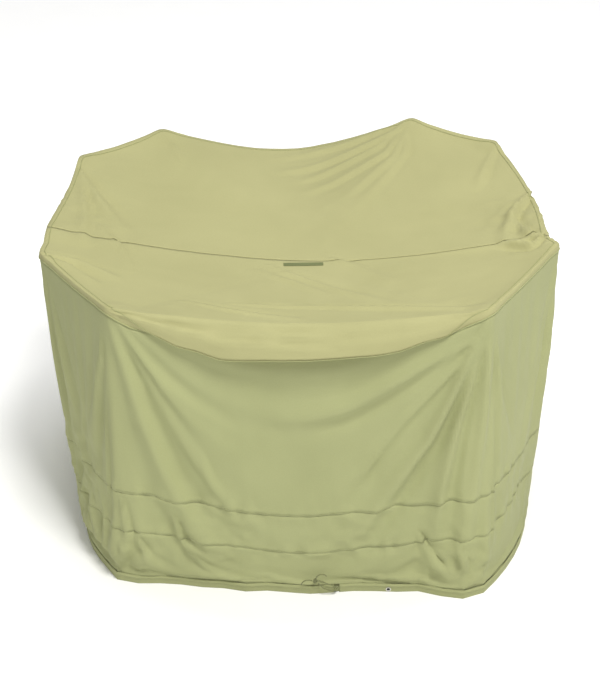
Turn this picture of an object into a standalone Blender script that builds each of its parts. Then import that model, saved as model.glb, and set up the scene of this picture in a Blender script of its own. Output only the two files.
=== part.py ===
"""Fabric cover for a large outdoor grill, draped over eight support corners and standing on its hem.

Metres, +Z up, +X to the cover's right, -Y to its front. The origin is on the floor, under the middle.
The cover is one sewn skin: a top in two halves joined by a cross seam, a skirt of an upper wall and two
bands, and a folded hem that holds a drawcord and the eyelets. Everything follows one ring of columns,
numbered counter-clockwise as seen from above, which carry a point on the rim, the seam and the hem.
"""

import math

import bmesh
import bpy
from mathutils import Vector

# Driving dimensions
RIM_HEIGHT = 0.986
CENTRE = Vector((0.0370, -0.1282, 0.882))
CLOTH = 0.0012
GAP = 0.0005
SEAM_DIP = 0.062
TAPE_WIDTH = 0.022
TAPE_THICKNESS = 0.0008
TAPE_GAP = 0.0010
SEAM_STRIP = 0.014
WELT_RADIUS = 0.0022
UPPER_SEAM = 0.358
LOWER_SEAM = 0.220

# Corners that hold the cover up, in order from the right notch: rim (x, y), hem (x, y, z), columns to the
# next corner, how far the rim sags below the taut corners on the way, and how far rim and hem bow outward
CORNERS = [
    ("right_notch", (0.7300, -0.1882), (0.7490, -0.1432, 0.000), 10, 0.014, 0.034, 0.014),
    ("right_rear", (0.6830, 0.4688), (0.7030, 0.4568, 0.000), 5, 0.010, 0.004, 0.012),
    ("rear_right", (0.4230, 0.6788), (0.4470, 0.6728, 0.000), 13, 0.075, -0.025, 0.010),
    ("rear_left", (-0.4400, 0.6328), (-0.4550, 0.6448, 0.000), 5, 0.010, 0.004, 0.012),
    ("left_rear", (-0.6970, 0.4258), (-0.7110, 0.4168, 0.000), 7, 0.012, -0.002, 0.006),
    ("left_notch", (-0.7520, -0.0612), (-0.7360, -0.0532, 0.000), 2, 0.004, 0.000, 0.000),
    ("left_front", (-0.7530, -0.2392), (-0.7030, -0.2232, 0.000), 6, 0.006, 0.000, 0.028),
    ("front_left", (-0.5340, -0.5722), (-0.5800, -0.5402, 0.000), 17, 0.040, 0.000, 0.000),
    ("front_right", (0.5020, -0.6312), (0.5350, -0.6552, 0.000), 7, 0.006, 0.000, 0.040),
    ("right_front", (0.7530, -0.2642), (0.7300, -0.2382, 0.000), 2, 0.004, 0.000, 0.000),
]
FRONT_SPAN = 7
REAR_SPANS = 5

# The front hem isn't straight: share of the span, y
FRONT_HEM = [
    (0.00, -0.5402),
    (0.08, -0.5652),
    (0.28, -0.5912),
    (0.36, -0.6172),
    (0.55, -0.6312),
    (0.84, -0.6372),
    (0.90, -0.6732),
    (0.94, -0.6812),
    (1.00, -0.6552),
]
HEM_RIPPLE = 0.005
HEM_RIPPLES = 17

# Front lip, where slack cloth of the top hangs over the rim: share of the span, drop of its lower edge
LIP_DROP = [
    (0.00, 0.014),
    (0.08, 0.056),
    (0.20, 0.100),
    (0.30, 0.128),
    (0.48, 0.122),
    (0.72, 0.112),
    (0.87, 0.074),
    (0.95, 0.040),
    (1.00, 0.014),
]
LIP_REACH = 0.060
LIP_TUCK = 0.80
LIP_RISE = 0.012
SEAM_DROP = 0.006
EDGE_DROP = 0.012
EDGE_REACH = 0.003

# Rings of the top between its centre and the rim, as shares of that distance
RINGS = [0.30, 0.55, 0.75, 0.90, 1.00]
SAG_POWER = 1.8

# Hem section
HEM_HEIGHT = 0.0315
CHANNEL_FOOT = 0.0188
HEM_LAYER = 0.0010
CORD_RADIUS = 0.0020
CORD_HEIGHT = 0.0245
CORD_OFFSET = 0.0008
OPENING_SEGMENT = 10
OPENING_SHARE = 0.21
OPENING_WIDTH = 0.017

# Eyelets, one on each side of the cover: the first lies a little to the right of the hem's opening and
# the rest follow rightwards, a pitch apart along the hem, so that the last is on the left
EYELETS = 4
EYELET_FROM_OPENING = 0.158
EYELET_PITCH = 1.148
EYELET_CLEAR = 0.0125
EYELET_HEIGHT = 0.0095
EYELET_HOLE = 0.0048
EYELET_BARREL = 0.0053
EYELET_FLANGE = 0.0083
EYELET_SIDES = 8
HEM_HOLE = 0.0061
METAL = 0.0005


# ---------------------------------------------------------------- scene and materials


def clear_scene():
    for obj in list(bpy.data.objects):
        bpy.data.objects.remove(obj)


def new_collection(name):
    collection = bpy.data.collections.new(name)
    bpy.context.scene.collection.children.link(collection)
    return collection


def material(name, colour, roughness, metallic=0.0):
    mat = bpy.data.materials.new(name)
    mat.use_nodes = True
    shader = mat.node_tree.nodes["Principled BSDF"]
    shader.inputs["Base Color"].default_value = (*colour, 1.0)
    shader.inputs["Roughness"].default_value = roughness
    shader.inputs["Metallic"].default_value = metallic
    return mat


clear_scene()
COVER = new_collection("grill_cover")
CUTTERS = new_collection("cutters")
TOP_CLOTH = material("top_cloth", (0.50, 0.48, 0.24), 0.75)
SKIRT_CLOTH = material("skirt_cloth", (0.39, 0.40, 0.20), 0.75)
TAPE = material("seam_tape", (0.30, 0.31, 0.17), 0.60)
CORD = material("cord", (0.36, 0.36, 0.20), 0.85)
EYELET = material("eyelet_metal", (0.75, 0.75, 0.72), 0.25, 1.0)


# ---------------------------------------------------------------- the ring of columns


def along(table, share):
    """The value at that share of a table of (share, value), joined by smooth steps."""
    for low, high in zip(table, table[1:]):
        if share <= high[0]:
            step = (share - low[0]) / (high[0] - low[0])
            step = step * step * (3 - 2 * step)
            return low[1] + (high[1] - low[1]) * step
    return table[-1][1]


def span_normal(start, end):
    """Horizontal direction pointing out of the cover, square to a span."""
    run = Vector((end[0] - start[0], end[1] - start[1], 0.0)).normalized()
    return Vector((run.y, -run.x, 0.0))


def make_columns():
    """One entry per column: span, share along it, rim, lip edge, seam and hem points, and lip drop."""
    columns = []
    for index, corner in enumerate(CORNERS):
        after = CORNERS[(index + 1) % len(CORNERS)]
        _, rim, hem, count, sag, rim_bow, hem_bow = corner
        rim_out = span_normal(rim, after[1])
        hem_out = span_normal(hem, after[2])
        for step in range(count):
            share = step / count
            arch = math.sin(math.pi * share)
            point = Vector((*rim, RIM_HEIGHT)).lerp(Vector((*after[1], RIM_HEIGHT)), share)
            point += rim_out * (rim_bow * arch)
            point.z -= sag * arch**1.3
            foot = Vector(hem).lerp(Vector(after[2]), share) + hem_out * (hem_bow * arch)
            if index == FRONT_SPAN:
                foot.y = along(FRONT_HEM, share)
            columns.append({"span": index, "share": share, "rim": point, "hem": foot, "out": rim_out})
    return columns


def ring_normal(points, index):
    """Horizontal outward direction of a closed ring of points at one of them."""
    before = points[index - 1]
    after = points[(index + 1) % len(points)]
    run = Vector((after.x - before.x, after.y - before.y, 0.0)).normalized()
    return Vector((run.y, -run.x, 0.0))


def finish_columns(columns):
    """Adds the hem's ripple, the lip's edge and the seam to each column."""
    hems = [column["hem"].copy() for column in columns]
    rims = [column["rim"] for column in columns]
    for number, column in enumerate(columns):
        turn = 2 * math.pi * number / len(columns)
        ripple = HEM_RIPPLE * math.sin(HEM_RIPPLES * turn + 0.8) * (0.6 + 0.4 * math.sin(3 * turn))
        column["hem_out"] = ring_normal(hems, number)
        column["hem"] = hems[number] + column["hem_out"] * ripple
        column["out"] = ring_normal(rims, number)
        front = column["span"] == FRONT_SPAN
        arch = math.sin(math.pi * column["share"]) if front else 0.0
        drop = along(LIP_DROP, column["share"]) if front else EDGE_DROP
        reach = EDGE_REACH + LIP_REACH * arch**0.8
        rim = column["rim"]
        bottom = RIM_HEIGHT - drop if front else rim.z - drop
        column["lip"] = rim + column["out"] * (reach * 0.85) + Vector((0, 0, (bottom - rim.z) * 0.45))
        column["edge"] = rim + column["out"] * reach + Vector((0, 0, bottom - rim.z))
        tuck = LIP_TUCK * reach * arch
        rise = LIP_RISE * arch - SEAM_DROP * (1 - arch)
        column["seam"] = column["edge"] - column["out"] * tuck + Vector((0, 0, rise))
    return columns


COLUMNS = finish_columns(make_columns())
COUNT = len(COLUMNS)
REAR = range(0, sum(corner[3] for corner in CORNERS[:REAR_SPANS]) + 1)
FRONT = range(REAR[-1], COUNT + 1)
FRONT_START = sum(corner[3] for corner in CORNERS[:FRONT_SPAN])


def column(number):
    return COLUMNS[number % COUNT]


def top_point(number, share):
    """A point of the sagging top, at a share of the way from its centre to the rim."""
    rim = column(number)["rim"]
    point = CENTRE.lerp(rim, share)
    point.z = CENTRE.z + (rim.z - CENTRE.z) * share**SAG_POWER
    return point


def skirt_point(number, height):
    """A point of the skirt's outer face, at a height above that column's hem."""
    seam = column(number)["seam"]
    hem = column(number)["hem"]
    return hem.lerp(seam, height / (seam.z - hem.z))


def seam_height(number, base):
    """Height of a band seam above the hem: it dips in the slack middle of the front."""
    place = column(number)
    dip = 0.0
    if place["span"] == FRONT_SPAN:
        dip = SEAM_DIP * math.sin(math.pi * place["share"]) ** 2
    return base - dip


# ---------------------------------------------------------------- builders


def add_object(name, mesh, mat, collection=COVER):
    obj = bpy.data.objects.new(name, mesh)
    mesh.materials.append(mat)
    collection.objects.link(obj)
    return obj


def grid_mesh(name, rows):
    """A surface through rows of points. A first row of one point makes a fan."""
    mesh = bpy.data.meshes.new(name)
    build = bmesh.new()
    lines = [[build.verts.new(point) for point in row] for row in rows]
    for upper, lower in zip(lines, lines[1:]):
        for place in range(len(lower) - 1):
            if len(upper) == 1:
                build.faces.new((upper[0], lower[place], lower[place + 1]))
            else:
                build.faces.new((upper[place], lower[place], lower[place + 1], upper[place + 1]))
    build.to_mesh(mesh)
    build.free()
    return mesh


def cloth_panel(name, rows, mat):
    """A sewn panel: its outer face through the rows, and its thickness inward."""
    panel = add_object(name, grid_mesh(name, rows), mat)
    thick = panel.modifiers.new("cloth", "SOLIDIFY")
    thick.thickness = CLOTH
    thick.offset = -1.0
    thick.use_even_offset = True
    return panel


def sweep(name, sections, mat, closed=False):
    """A solid through sections of equal length, each a closed outline."""
    mesh = bpy.data.meshes.new(name)
    build = bmesh.new()
    loops = [[build.verts.new(point) for point in section] for section in sections]
    pairs = list(zip(loops, loops[1:]))
    if closed:
        pairs.append((loops[-1], loops[0]))
    for first, second in pairs:
        for place in range(len(first)):
            after = (place + 1) % len(first)
            build.faces.new((first[place], first[after], second[after], second[place]))
    if not closed:
        build.faces.new(loops[0])
        build.faces.new(loops[-1])
    bmesh.ops.recalc_face_normals(build, faces=build.faces)
    build.to_mesh(mesh)
    build.free()
    return add_object(name, mesh, mat)


def cord_tube(name, points, radius, mat):
    """A cord along a polyline, with filled caps."""
    curve = bpy.data.curves.new(name, "CURVE")
    curve.dimensions = "3D"
    curve.bevel_depth = radius
    curve.bevel_resolution = 2
    curve.use_fill_caps = True
    spline = curve.splines.new("POLY")
    spline.points.add(len(points) - 1)
    for knot, point in zip(spline.points, points):
        knot.co = (*point, 1.0)
    tube = bpy.data.objects.new(name, curve)
    curve.materials.append(mat)
    COVER.objects.link(tube)
    return tube


# ---------------------------------------------------------------- top


def shifted(point, y):
    return point + Vector((0, y, 0))


def top_half(name, numbers, side, lip_rows):
    """Half of the top, with its straight edge half a gap from the cross seam."""
    rows = [[shifted(CENTRE, side * GAP)]]
    for share in RINGS:
        row = [top_point(number, share) for number in numbers]
        row[0] = shifted(row[0], side * GAP)
        row[-1] = shifted(row[-1], side * GAP)
        rows.append(row)
    for part in lip_rows:
        row = [column(number)[part].copy() for number in numbers]
        row[0] = shifted(row[0], side * GAP)
        row[-1] = shifted(row[-1], side * GAP)
        rows.append(row)
    return cloth_panel(name, rows, TOP_CLOTH)


def tape_section(point, across, normal, offset):
    """A flat tape's outline under a surface point."""
    half = across * (TAPE_WIDTH / 2)
    outer = point - normal * offset
    inner = outer - normal * TAPE_THICKNESS
    return [outer - half, outer + half, inner + half, inner - half]


def cross_seam_tape():
    """Sealing tape under the seam that joins the two halves of the top."""
    left = REAR[-1]
    path = [top_point(left, share) for share in (0.955, 0.90, 0.75, 0.55, 0.30)]
    path.append(CENTRE.copy())
    path += [top_point(0, share) for share in (0.30, 0.55, 0.75, 0.90, 0.955)]
    offset = CLOTH + 2.2 * TAPE_GAP
    sections = []
    for number, point in enumerate(path):
        before = path[max(number - 1, 0)]
        after = path[min(number + 1, len(path) - 1)]
        run = (after - before).normalized()
        across = Vector((0, 1, 0))
        sections.append(tape_section(point, across, run.cross(across).normalized(), offset))
    return sweep("cross_seam_tape", sections, TAPE)


def welt(name, numbers):
    """Rolled seam allowance that stands out where the top meets the skirt."""
    sections = []
    for number in numbers:
        place = column(number)
        middle = place["seam"] - Vector((0, 0, WELT_RADIUS + GAP))
        if number == numbers[0]:
            middle = middle + tangent(number, "seam") * GAP
        if number == numbers[-1]:
            middle = middle - tangent(number, "seam") * GAP
        section = []
        for side in range(6):
            turn = math.pi * side / 3
            across = place["out"] * (math.cos(turn) * WELT_RADIUS)
            section.append(middle + across + Vector((0, 0, math.sin(turn) * WELT_RADIUS)))
        sections.append(section)
    return sweep(name, sections, SKIRT_CLOTH)


def tangent(number, part):
    return (column(number + 1)[part] - column(number - 1)[part]).normalized()


# ---------------------------------------------------------------- skirt


def skirt_panel(name, numbers, heights):
    """A wall panel between heights above the hem, each given as a function of the column."""
    rows = []
    for height in heights:
        row = [skirt_point(number, height(number)) for number in numbers]
        row[0] = row[0] + tangent(numbers[0], "hem") * GAP
        row[-1] = row[-1] - tangent(numbers[-1], "hem") * GAP
        rows.append(row)
    return cloth_panel(name, rows, SKIRT_CLOTH)


def wall_top(number):
    place = column(number)
    return place["seam"].z - place["hem"].z - 2 * WELT_RADIUS - 2 * GAP


def upper_edge(number):
    return seam_height(number, UPPER_SEAM)


def lower_edge(number):
    return seam_height(number, LOWER_SEAM)


def band_foot(number):
    return HEM_HEIGHT + 2 * GAP


def above(edge, distance):
    return lambda number: edge(number) + distance


def wall_share(share):
    return lambda number: upper_edge(number) + (wall_top(number) - upper_edge(number)) * share


def skirt_normal(number, height):
    run = skirt_point(number + 1, height(number + 1)) - skirt_point(number - 1, height(number - 1))
    rise = column(number)["seam"] - column(number)["hem"]
    return run.cross(rise).normalized()


def seam_tape(name, numbers, height):
    """Sealing tape inside the skirt, along a seam between two bands."""
    offset = CLOTH + TAPE_GAP
    sections = []
    for number in numbers:
        point = skirt_point(number, height(number))
        rise = (column(number)["seam"] - column(number)["hem"]).normalized()
        normal = skirt_normal(number, height)
        inward = {numbers[0]: 1, numbers[-1]: -1}.get(number)
        if inward:
            run = (skirt_point(number + inward, height(number + inward)) - point).normalized()
            point = point + run * (TAPE_WIDTH * 0.8)
            normal = (run * inward).cross(rise).normalized()
        sections.append(tape_section(point, rise, normal, offset))
    return sweep(name, sections, TAPE)


def side_seam_tape(name, number):
    """Sealing tape inside the upright seam at one side of the skirt, in the upper wall."""
    half = TAPE_WIDTH / 2
    sections = []
    for share in (0.08, 0.5, 0.93):
        height = wall_share(share)
        point = skirt_point(number, height(number))
        before = skirt_point(number - 1, height(number - 1)) - point
        after = skirt_point(number + 1, height(number + 1)) - point
        across = [point + before.normalized() * half, point, point + after.normalized() * half]
        normal = skirt_normal(number, height)
        outer = [place - normal * (CLOTH + TAPE_GAP) for place in across]
        inner = [place - normal * (CLOTH + TAPE_GAP + TAPE_THICKNESS) for place in across]
        sections.append(outer + inner[::-1])
    return sweep(name, sections, TAPE)


# ---------------------------------------------------------------- hem, drawcord and eyelets


def thick_outline(path, thickness):
    """Closed outline of a strip that follows a 2D path."""
    left = []
    right = []
    for number, point in enumerate(path):
        before = path[max(number - 1, 0)]
        after = path[min(number + 1, len(path) - 1)]
        first = (Vector(point) - Vector(before)) if number else (Vector(after) - Vector(point))
        second = (Vector(after) - Vector(point)) if number < len(path) - 1 else first
        first.normalize()
        second.normalize()
        run = (first + second).normalized()
        reach = thickness / 2 / max(run.dot(first), 0.5)
        side = Vector((-run.y, run.x)) * reach
        left.append(Vector(point) + side)
        right.append(Vector(point) - side)
    return left + right[::-1]


def hem_outline():
    """The hem's section as (outward, up): folded at the floor, two layers, with a channel for the cord."""
    layer = HEM_LAYER
    path = [
        (-2.2 * layer, HEM_HEIGHT),
        (-2.2 * layer, CHANNEL_FOOT + 0.0019),
        (-layer, CHANNEL_FOOT),
        (-layer, layer / 2),
        (layer, layer / 2),
        (layer, CHANNEL_FOOT),
        (3.6 * layer, CHANNEL_FOOT + 0.0027),
        (3.6 * layer, CHANNEL_FOOT + 0.0092),
        (1.2 * layer, HEM_HEIGHT),
    ]
    return thick_outline(path, layer)


def hem_place(number, outward, up):
    place = column(number)
    return place["hem"] + place["miter"] * outward + Vector((0, 0, up))


def set_hem_miters():
    """Outward direction at each hem column, lengthened so that faces between columns keep their distance."""
    for number in range(COUNT):
        before = column(number)["hem"] - column(number - 1)["hem"]
        after = column(number + 1)["hem"] - column(number)["hem"]
        first = Vector((before.y, -before.x, 0)).normalized()
        second = Vector((after.y, -after.x, 0)).normalized()
        middle = (first + second).normalized()
        column(number)["miter"] = middle / middle.dot(first)


def hem_half(name, start, end):
    """Half of the folded hem between two places, given as a column number and a share of its segment."""
    outline = hem_outline()
    sections = []
    for number, share in [start, *[(n, 0.0) for n in range(start[0] + 1, end[0] + 1)], end]:
        section = []
        for outward, up in outline:
            here = hem_place(number, outward, up)
            section.append(here.lerp(hem_place(number + 1, outward, up), share))
        sections.append(section)
    return sweep(name, sections, SKIRT_CLOTH)


def hem_walk(start, distance):
    """The (segment, share) that lies a distance along the hem from a starting (segment, share)."""
    segment, share = start
    length = (column(segment + 1)["hem"] - column(segment)["hem"]).length
    left = distance + share * length
    while left > length:
        left -= length
        segment += 1
        length = (column(segment + 1)["hem"] - column(segment)["hem"]).length
    clear = EYELET_CLEAR / length
    return segment, min(max(left / length, clear), 1 - clear)


def eyelet_places():
    """Each eyelet's (segment, share), moved off a column so that its flange lies on one flat length."""
    start = (FRONT_START + OPENING_SEGMENT, OPENING_SHARE)
    return [hem_walk(start, EYELET_FROM_OPENING + EYELET_PITCH * number) for number in range(EYELETS)]


def eyelet_frame(place):
    """Centre on the hem's mid line and outward direction of the eyelet at that place."""
    segment, share = place
    first = column(segment)["hem"]
    second = column(segment + 1)["hem"]
    run = second - first
    out = Vector((run.y, -run.x, 0)).normalized()
    return first.lerp(second, share) + Vector((0, 0, EYELET_HEIGHT)), out


def turned(name, profile, place, mat):
    """A ring turned about an eyelet's axis from an (along, radius) profile."""
    mesh = bpy.data.meshes.new(name)
    build = bmesh.new()
    centre, out = eyelet_frame(place)
    side = Vector((0, 0, 1)).cross(out)
    loops = []
    for step in range(EYELET_SIDES):
        turn = 2 * math.pi * (step + 0.5) / EYELET_SIDES
        spoke = side * math.cos(turn) + Vector((0, 0, math.sin(turn)))
        loops.append([build.verts.new(centre + out * a + spoke * r) for a, r in profile])
    for step, loop in enumerate(loops):
        other = loops[(step + 1) % EYELET_SIDES]
        for number in range(len(profile)):
            after = (number + 1) % len(profile)
            build.faces.new((loop[number], loop[after], other[after], other[number]))
    bmesh.ops.recalc_face_normals(build, faces=build.faces)
    build.to_mesh(mesh)
    build.free()
    return add_object(name, mesh, mat)


def eyelet_profile():
    """Front flange, barrel and the lip that is rolled over the washer, as (outward, radius)."""
    face = 1.5 * HEM_LAYER + 0.0003
    back = face + METAL + 0.0003
    return [
        (face, EYELET_FLANGE),
        (face + METAL, EYELET_FLANGE - 0.0003),
        (face + METAL, EYELET_BARREL + 0.0003),
        (face, EYELET_HOLE),
        (-back - METAL, EYELET_HOLE),
        (-back - METAL, EYELET_BARREL + 0.0012),
        (-back, EYELET_BARREL + 0.0012),
        (-back, EYELET_BARREL),
        (face, EYELET_BARREL),
    ]


def washer_profile():
    face = -1.5 * HEM_LAYER - 0.0003
    hole = EYELET_BARREL + 0.0003
    return [(face, hole), (face, EYELET_FLANGE), (face - METAL, EYELET_FLANGE), (face - METAL, hole)]


def hole_cutter(places):
    """Pins that punch the eyelet holes through both layers of the hem."""
    reach = 0.006
    mesh = bpy.data.meshes.new("eyelet_holes")
    build = bmesh.new()
    for place in places:
        centre, out = eyelet_frame(place)
        turn = out.to_track_quat("Z", "Y").to_matrix().to_4x4()
        turn.translation = centre
        bmesh.ops.create_cone(
            build,
            cap_ends=True,
            segments=EYELET_SIDES,
            radius1=HEM_HOLE,
            radius2=HEM_HOLE,
            depth=2 * reach,
            matrix=turn,
        )
    build.to_mesh(mesh)
    build.free()
    cutter = bpy.data.objects.new("eyelet_holes", mesh)
    CUTTERS.objects.link(cutter)
    cutter.hide_render = True
    cutter.display_type = "WIRE"
    return cutter


def punch(obj, cutter):
    cut = obj.modifiers.new("eyelet_holes", "BOOLEAN")
    cut.operation = "DIFFERENCE"
    cut.solver = "EXACT"
    cut.object = cutter


def cord_place(number, share):
    here = hem_place(number, CORD_OFFSET, CORD_HEIGHT)
    return here.lerp(hem_place(number + 1, CORD_OFFSET, CORD_HEIGHT), share)


# ---------------------------------------------------------------- drawcord ends and label

# Routes of the drawcord's free ends, from the hem's opening up the lower band to the knot. Each point is
# metres to the right of the opening's middle, out from the hem's line, and up from the floor
KNOT = (-0.0660, 0.0130, 0.0620)
LEFT_STRAND = [
    (-0.0080, 0.0008, 0.0245),
    (-0.0055, 0.0008, 0.0245),
    (-0.0002, 0.0050, 0.0268),
    (-0.0016, 0.0105, 0.0310),
    (-0.0100, 0.0125, 0.0360),
    (-0.0260, 0.0120, 0.0440),
    (-0.0450, 0.0120, 0.0560),
    (-0.0560, 0.0130, 0.0615),
]
RIGHT_STRAND = [
    (0.0080, 0.0008, 0.0245),
    (0.0058, 0.0008, 0.0245),
    (0.0022, 0.0042, 0.0213),
    (-0.0050, 0.0125, 0.0185),
    (-0.0220, 0.0150, 0.0220),
    (-0.0420, 0.0145, 0.0330),
    (-0.0570, 0.0140, 0.0520),
]
LEFT_TAIL = [
    (-0.0758, 0.0130, 0.0630),
    (-0.0840, 0.0130, 0.0660),
    (-0.0950, 0.0130, 0.0660),
    (-0.1040, 0.0125, 0.0600),
    (-0.1090, 0.0120, 0.0500),
]
RIGHT_TAIL = [
    (-0.0640, 0.0130, 0.0718),
    (-0.0600, 0.0135, 0.0800),
    (-0.0510, 0.0140, 0.0860),
    (-0.0400, 0.0140, 0.0850),
    (-0.0320, 0.0135, 0.0770),
]
KNOT_TURN = 0.0047
KNOT_DEPTH = 0.0027
KNOT_CORD = 0.0018

LABEL_MIDDLE = (0.014, -0.150)
LABEL_SIZE = (0.120, 0.020)
LABEL_CELLS = (6, 2)
LABEL_THICKNESS = 0.0006


def opening_frame():
    """The middle of the hem's opening on the floor, and its rightward and outward directions."""
    first = column(FRONT_START + OPENING_SEGMENT)["hem"]
    second = column(FRONT_START + OPENING_SEGMENT + 1)["hem"]
    right = (second - first).normalized()
    return first.lerp(second, OPENING_SHARE), right, Vector((right.y, -right.x, 0))


def from_opening(offset):
    middle, right, out = opening_frame()
    return middle + right * offset[0] + out * offset[1] + Vector((0, 0, offset[2]))


def smooth_route(points, pieces):
    """A curve through the points, cut into that many pieces between each two."""
    route = []
    ends = [points[0] * 2 - points[1], *points, points[-1] * 2 - points[-2]]
    for before, low, high, after in zip(ends, ends[1:], ends[2:], ends[3:]):
        for step in range(pieces):
            t = step / pieces
            bend = (before * -1 + low * 3 - high * 3 + after) * t**3
            bow = (before * 2 - low * 5 + high * 4 - after) * t**2
            route.append((low * 2 + (high - before) * t + bow + bend) / 2)
    route.append(points[-1])
    return route


def free_cord(name, offsets):
    return cord_tube(name, smooth_route([from_opening(o) for o in offsets], 2), CORD_RADIUS, CORD)


def knot():
    """The knot that ties the drawcord's two ends: one closed trefoil of the cord, pulled tight."""
    middle = from_opening(KNOT)
    _, right, out = opening_frame()
    points = []
    for step in range(54):
        turn = 2 * math.pi * step / 54
        reach = KNOT_TURN + KNOT_DEPTH * math.cos(3 * turn)
        across = right * (reach * math.cos(2 * turn)) + Vector((0, 0, reach * math.sin(2 * turn)))
        points.append(middle + across + out * (KNOT_DEPTH * math.sin(3 * turn)))
    tube = cord_tube("drawcord_knot", points, KNOT_CORD, CORD)
    tube.data.splines[0].use_cyclic_u = True
    return tube


def top_height(x, y):
    """Height of the top near its centre, where it is a fan of flat facets."""
    for number in range(COUNT):
        first = top_point(number, RINGS[0]) - CENTRE
        second = top_point(number + 1, RINGS[0]) - CENTRE
        spread = first.x * second.y - first.y * second.x
        a = ((x - CENTRE.x) * second.y - (y - CENTRE.y) * second.x) / spread
        b = (first.x * (y - CENTRE.y) - first.y * (x - CENTRE.x)) / spread
        if a >= 0 and b >= 0:
            return CENTRE.z + a * first.z + b * second.z
    return CENTRE.z


def label():
    """A plain sewn label on the front half of the top, next to the cross seam."""
    across, deep = LABEL_CELLS
    rows = []
    for row in range(deep + 1):
        y = LABEL_MIDDLE[1] + LABEL_SIZE[1] * (0.5 - row / deep)
        xs = [LABEL_MIDDLE[0] + LABEL_SIZE[0] * (cell / across - 0.5) for cell in range(across + 1)]
        rows.append([Vector((x, y, top_height(x, y) + 0.0004 + LABEL_THICKNESS)) for x in xs])
    patch = add_object("label", grid_mesh("label", rows), TAPE)
    thick = patch.modifiers.new("cloth", "SOLIDIFY")
    thick.thickness = LABEL_THICKNESS
    thick.offset = -1.0
    return patch


def main():
    top_half("top_panel_rear", list(REAR), 1, ["lip", "edge", "seam"])
    top_half("top_panel_front", list(FRONT), -1, ["lip", "edge", "seam"])
    cross_seam_tape()
    welt("top_welt_rear", list(REAR))
    welt("top_welt_front", list(FRONT))

    wall = [wall_share(1.0), wall_share(0.5), above(upper_edge, SEAM_STRIP), above(upper_edge, GAP)]
    middle = [above(upper_edge, -GAP), above(upper_edge, -SEAM_STRIP)]
    middle += [above(lower_edge, SEAM_STRIP), above(lower_edge, GAP)]
    lower = [above(lower_edge, -GAP), above(lower_edge, -SEAM_STRIP), band_foot]
    for half, numbers in (("rear", list(REAR)), ("front", list(FRONT))):
        skirt_panel(f"upper_wall_{half}", numbers, wall)
        skirt_panel(f"middle_band_{half}", numbers, middle)
        skirt_panel(f"lower_band_{half}", numbers, lower)
        seam_tape(f"upper_seam_tape_{half}", numbers, upper_edge)
        seam_tape(f"lower_seam_tape_{half}", numbers, lower_edge)
    side_seam_tape("side_seam_tape_right", 0)
    side_seam_tape("side_seam_tape_left", REAR[-1])

    set_hem_miters()
    opening = FRONT_START + OPENING_SEGMENT
    length = (column(opening + 1)["hem"] - column(opening)["hem"]).length
    mouth_left = OPENING_SHARE - OPENING_WIDTH / 2 / length
    mouth_right = OPENING_SHARE + OPENING_WIDTH / 2 / length
    back = REAR[-1] // 2
    joint = GAP / length
    right = hem_half("hem_right", (opening, mouth_right), (COUNT + back, 0.5 - joint))
    left = hem_half("hem_left", (back, 0.5 + joint), (opening, mouth_left))
    places = eyelet_places()
    cutter = hole_cutter(places)
    punch(right, cutter)
    punch(left, cutter)
    for number, place in enumerate(places, start=1):
        turned(f"eyelet_{number:02d}", eyelet_profile(), place, EYELET)
        turned(f"eyelet_washer_{number:02d}", washer_profile(), place, EYELET)

    first = opening + COUNT
    route = [cord_place(first, mouth_right)]
    route += [cord_place(number, 0.0) for number in range(first + 1, first + COUNT + 1)]
    route.append(cord_place(first, mouth_left))
    cord_tube("drawcord", route, CORD_RADIUS, CORD)
    free_cord("drawcord_strand_left", LEFT_STRAND)
    free_cord("drawcord_strand_right", RIGHT_STRAND)
    free_cord("drawcord_tail_left", LEFT_TAIL)
    free_cord("drawcord_tail_right", RIGHT_TAIL)
    knot()
    label()


main()
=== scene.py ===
import math

import bmesh
import bpy
import numpy as np
from mathutils import Matrix, Vector, noise
from mathutils.bvhtree import BVHTree


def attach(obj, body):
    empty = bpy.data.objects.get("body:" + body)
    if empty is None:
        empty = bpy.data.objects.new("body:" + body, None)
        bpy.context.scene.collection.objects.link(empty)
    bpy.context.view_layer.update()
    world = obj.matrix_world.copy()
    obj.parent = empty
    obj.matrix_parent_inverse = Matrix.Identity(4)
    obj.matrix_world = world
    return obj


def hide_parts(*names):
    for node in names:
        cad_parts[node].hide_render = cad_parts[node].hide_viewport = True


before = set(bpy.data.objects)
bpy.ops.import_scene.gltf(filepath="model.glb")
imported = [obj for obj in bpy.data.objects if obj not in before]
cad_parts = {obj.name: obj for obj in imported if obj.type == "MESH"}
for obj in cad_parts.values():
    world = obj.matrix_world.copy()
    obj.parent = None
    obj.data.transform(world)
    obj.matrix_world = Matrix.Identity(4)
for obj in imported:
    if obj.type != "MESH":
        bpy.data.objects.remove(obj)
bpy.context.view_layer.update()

# The cover's ring of columns, as part.py lays it out. Lengths in metres
RIM_HEIGHT = 0.986
CENTRE = np.array([0.0370, -0.1282, 0.882])
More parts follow.
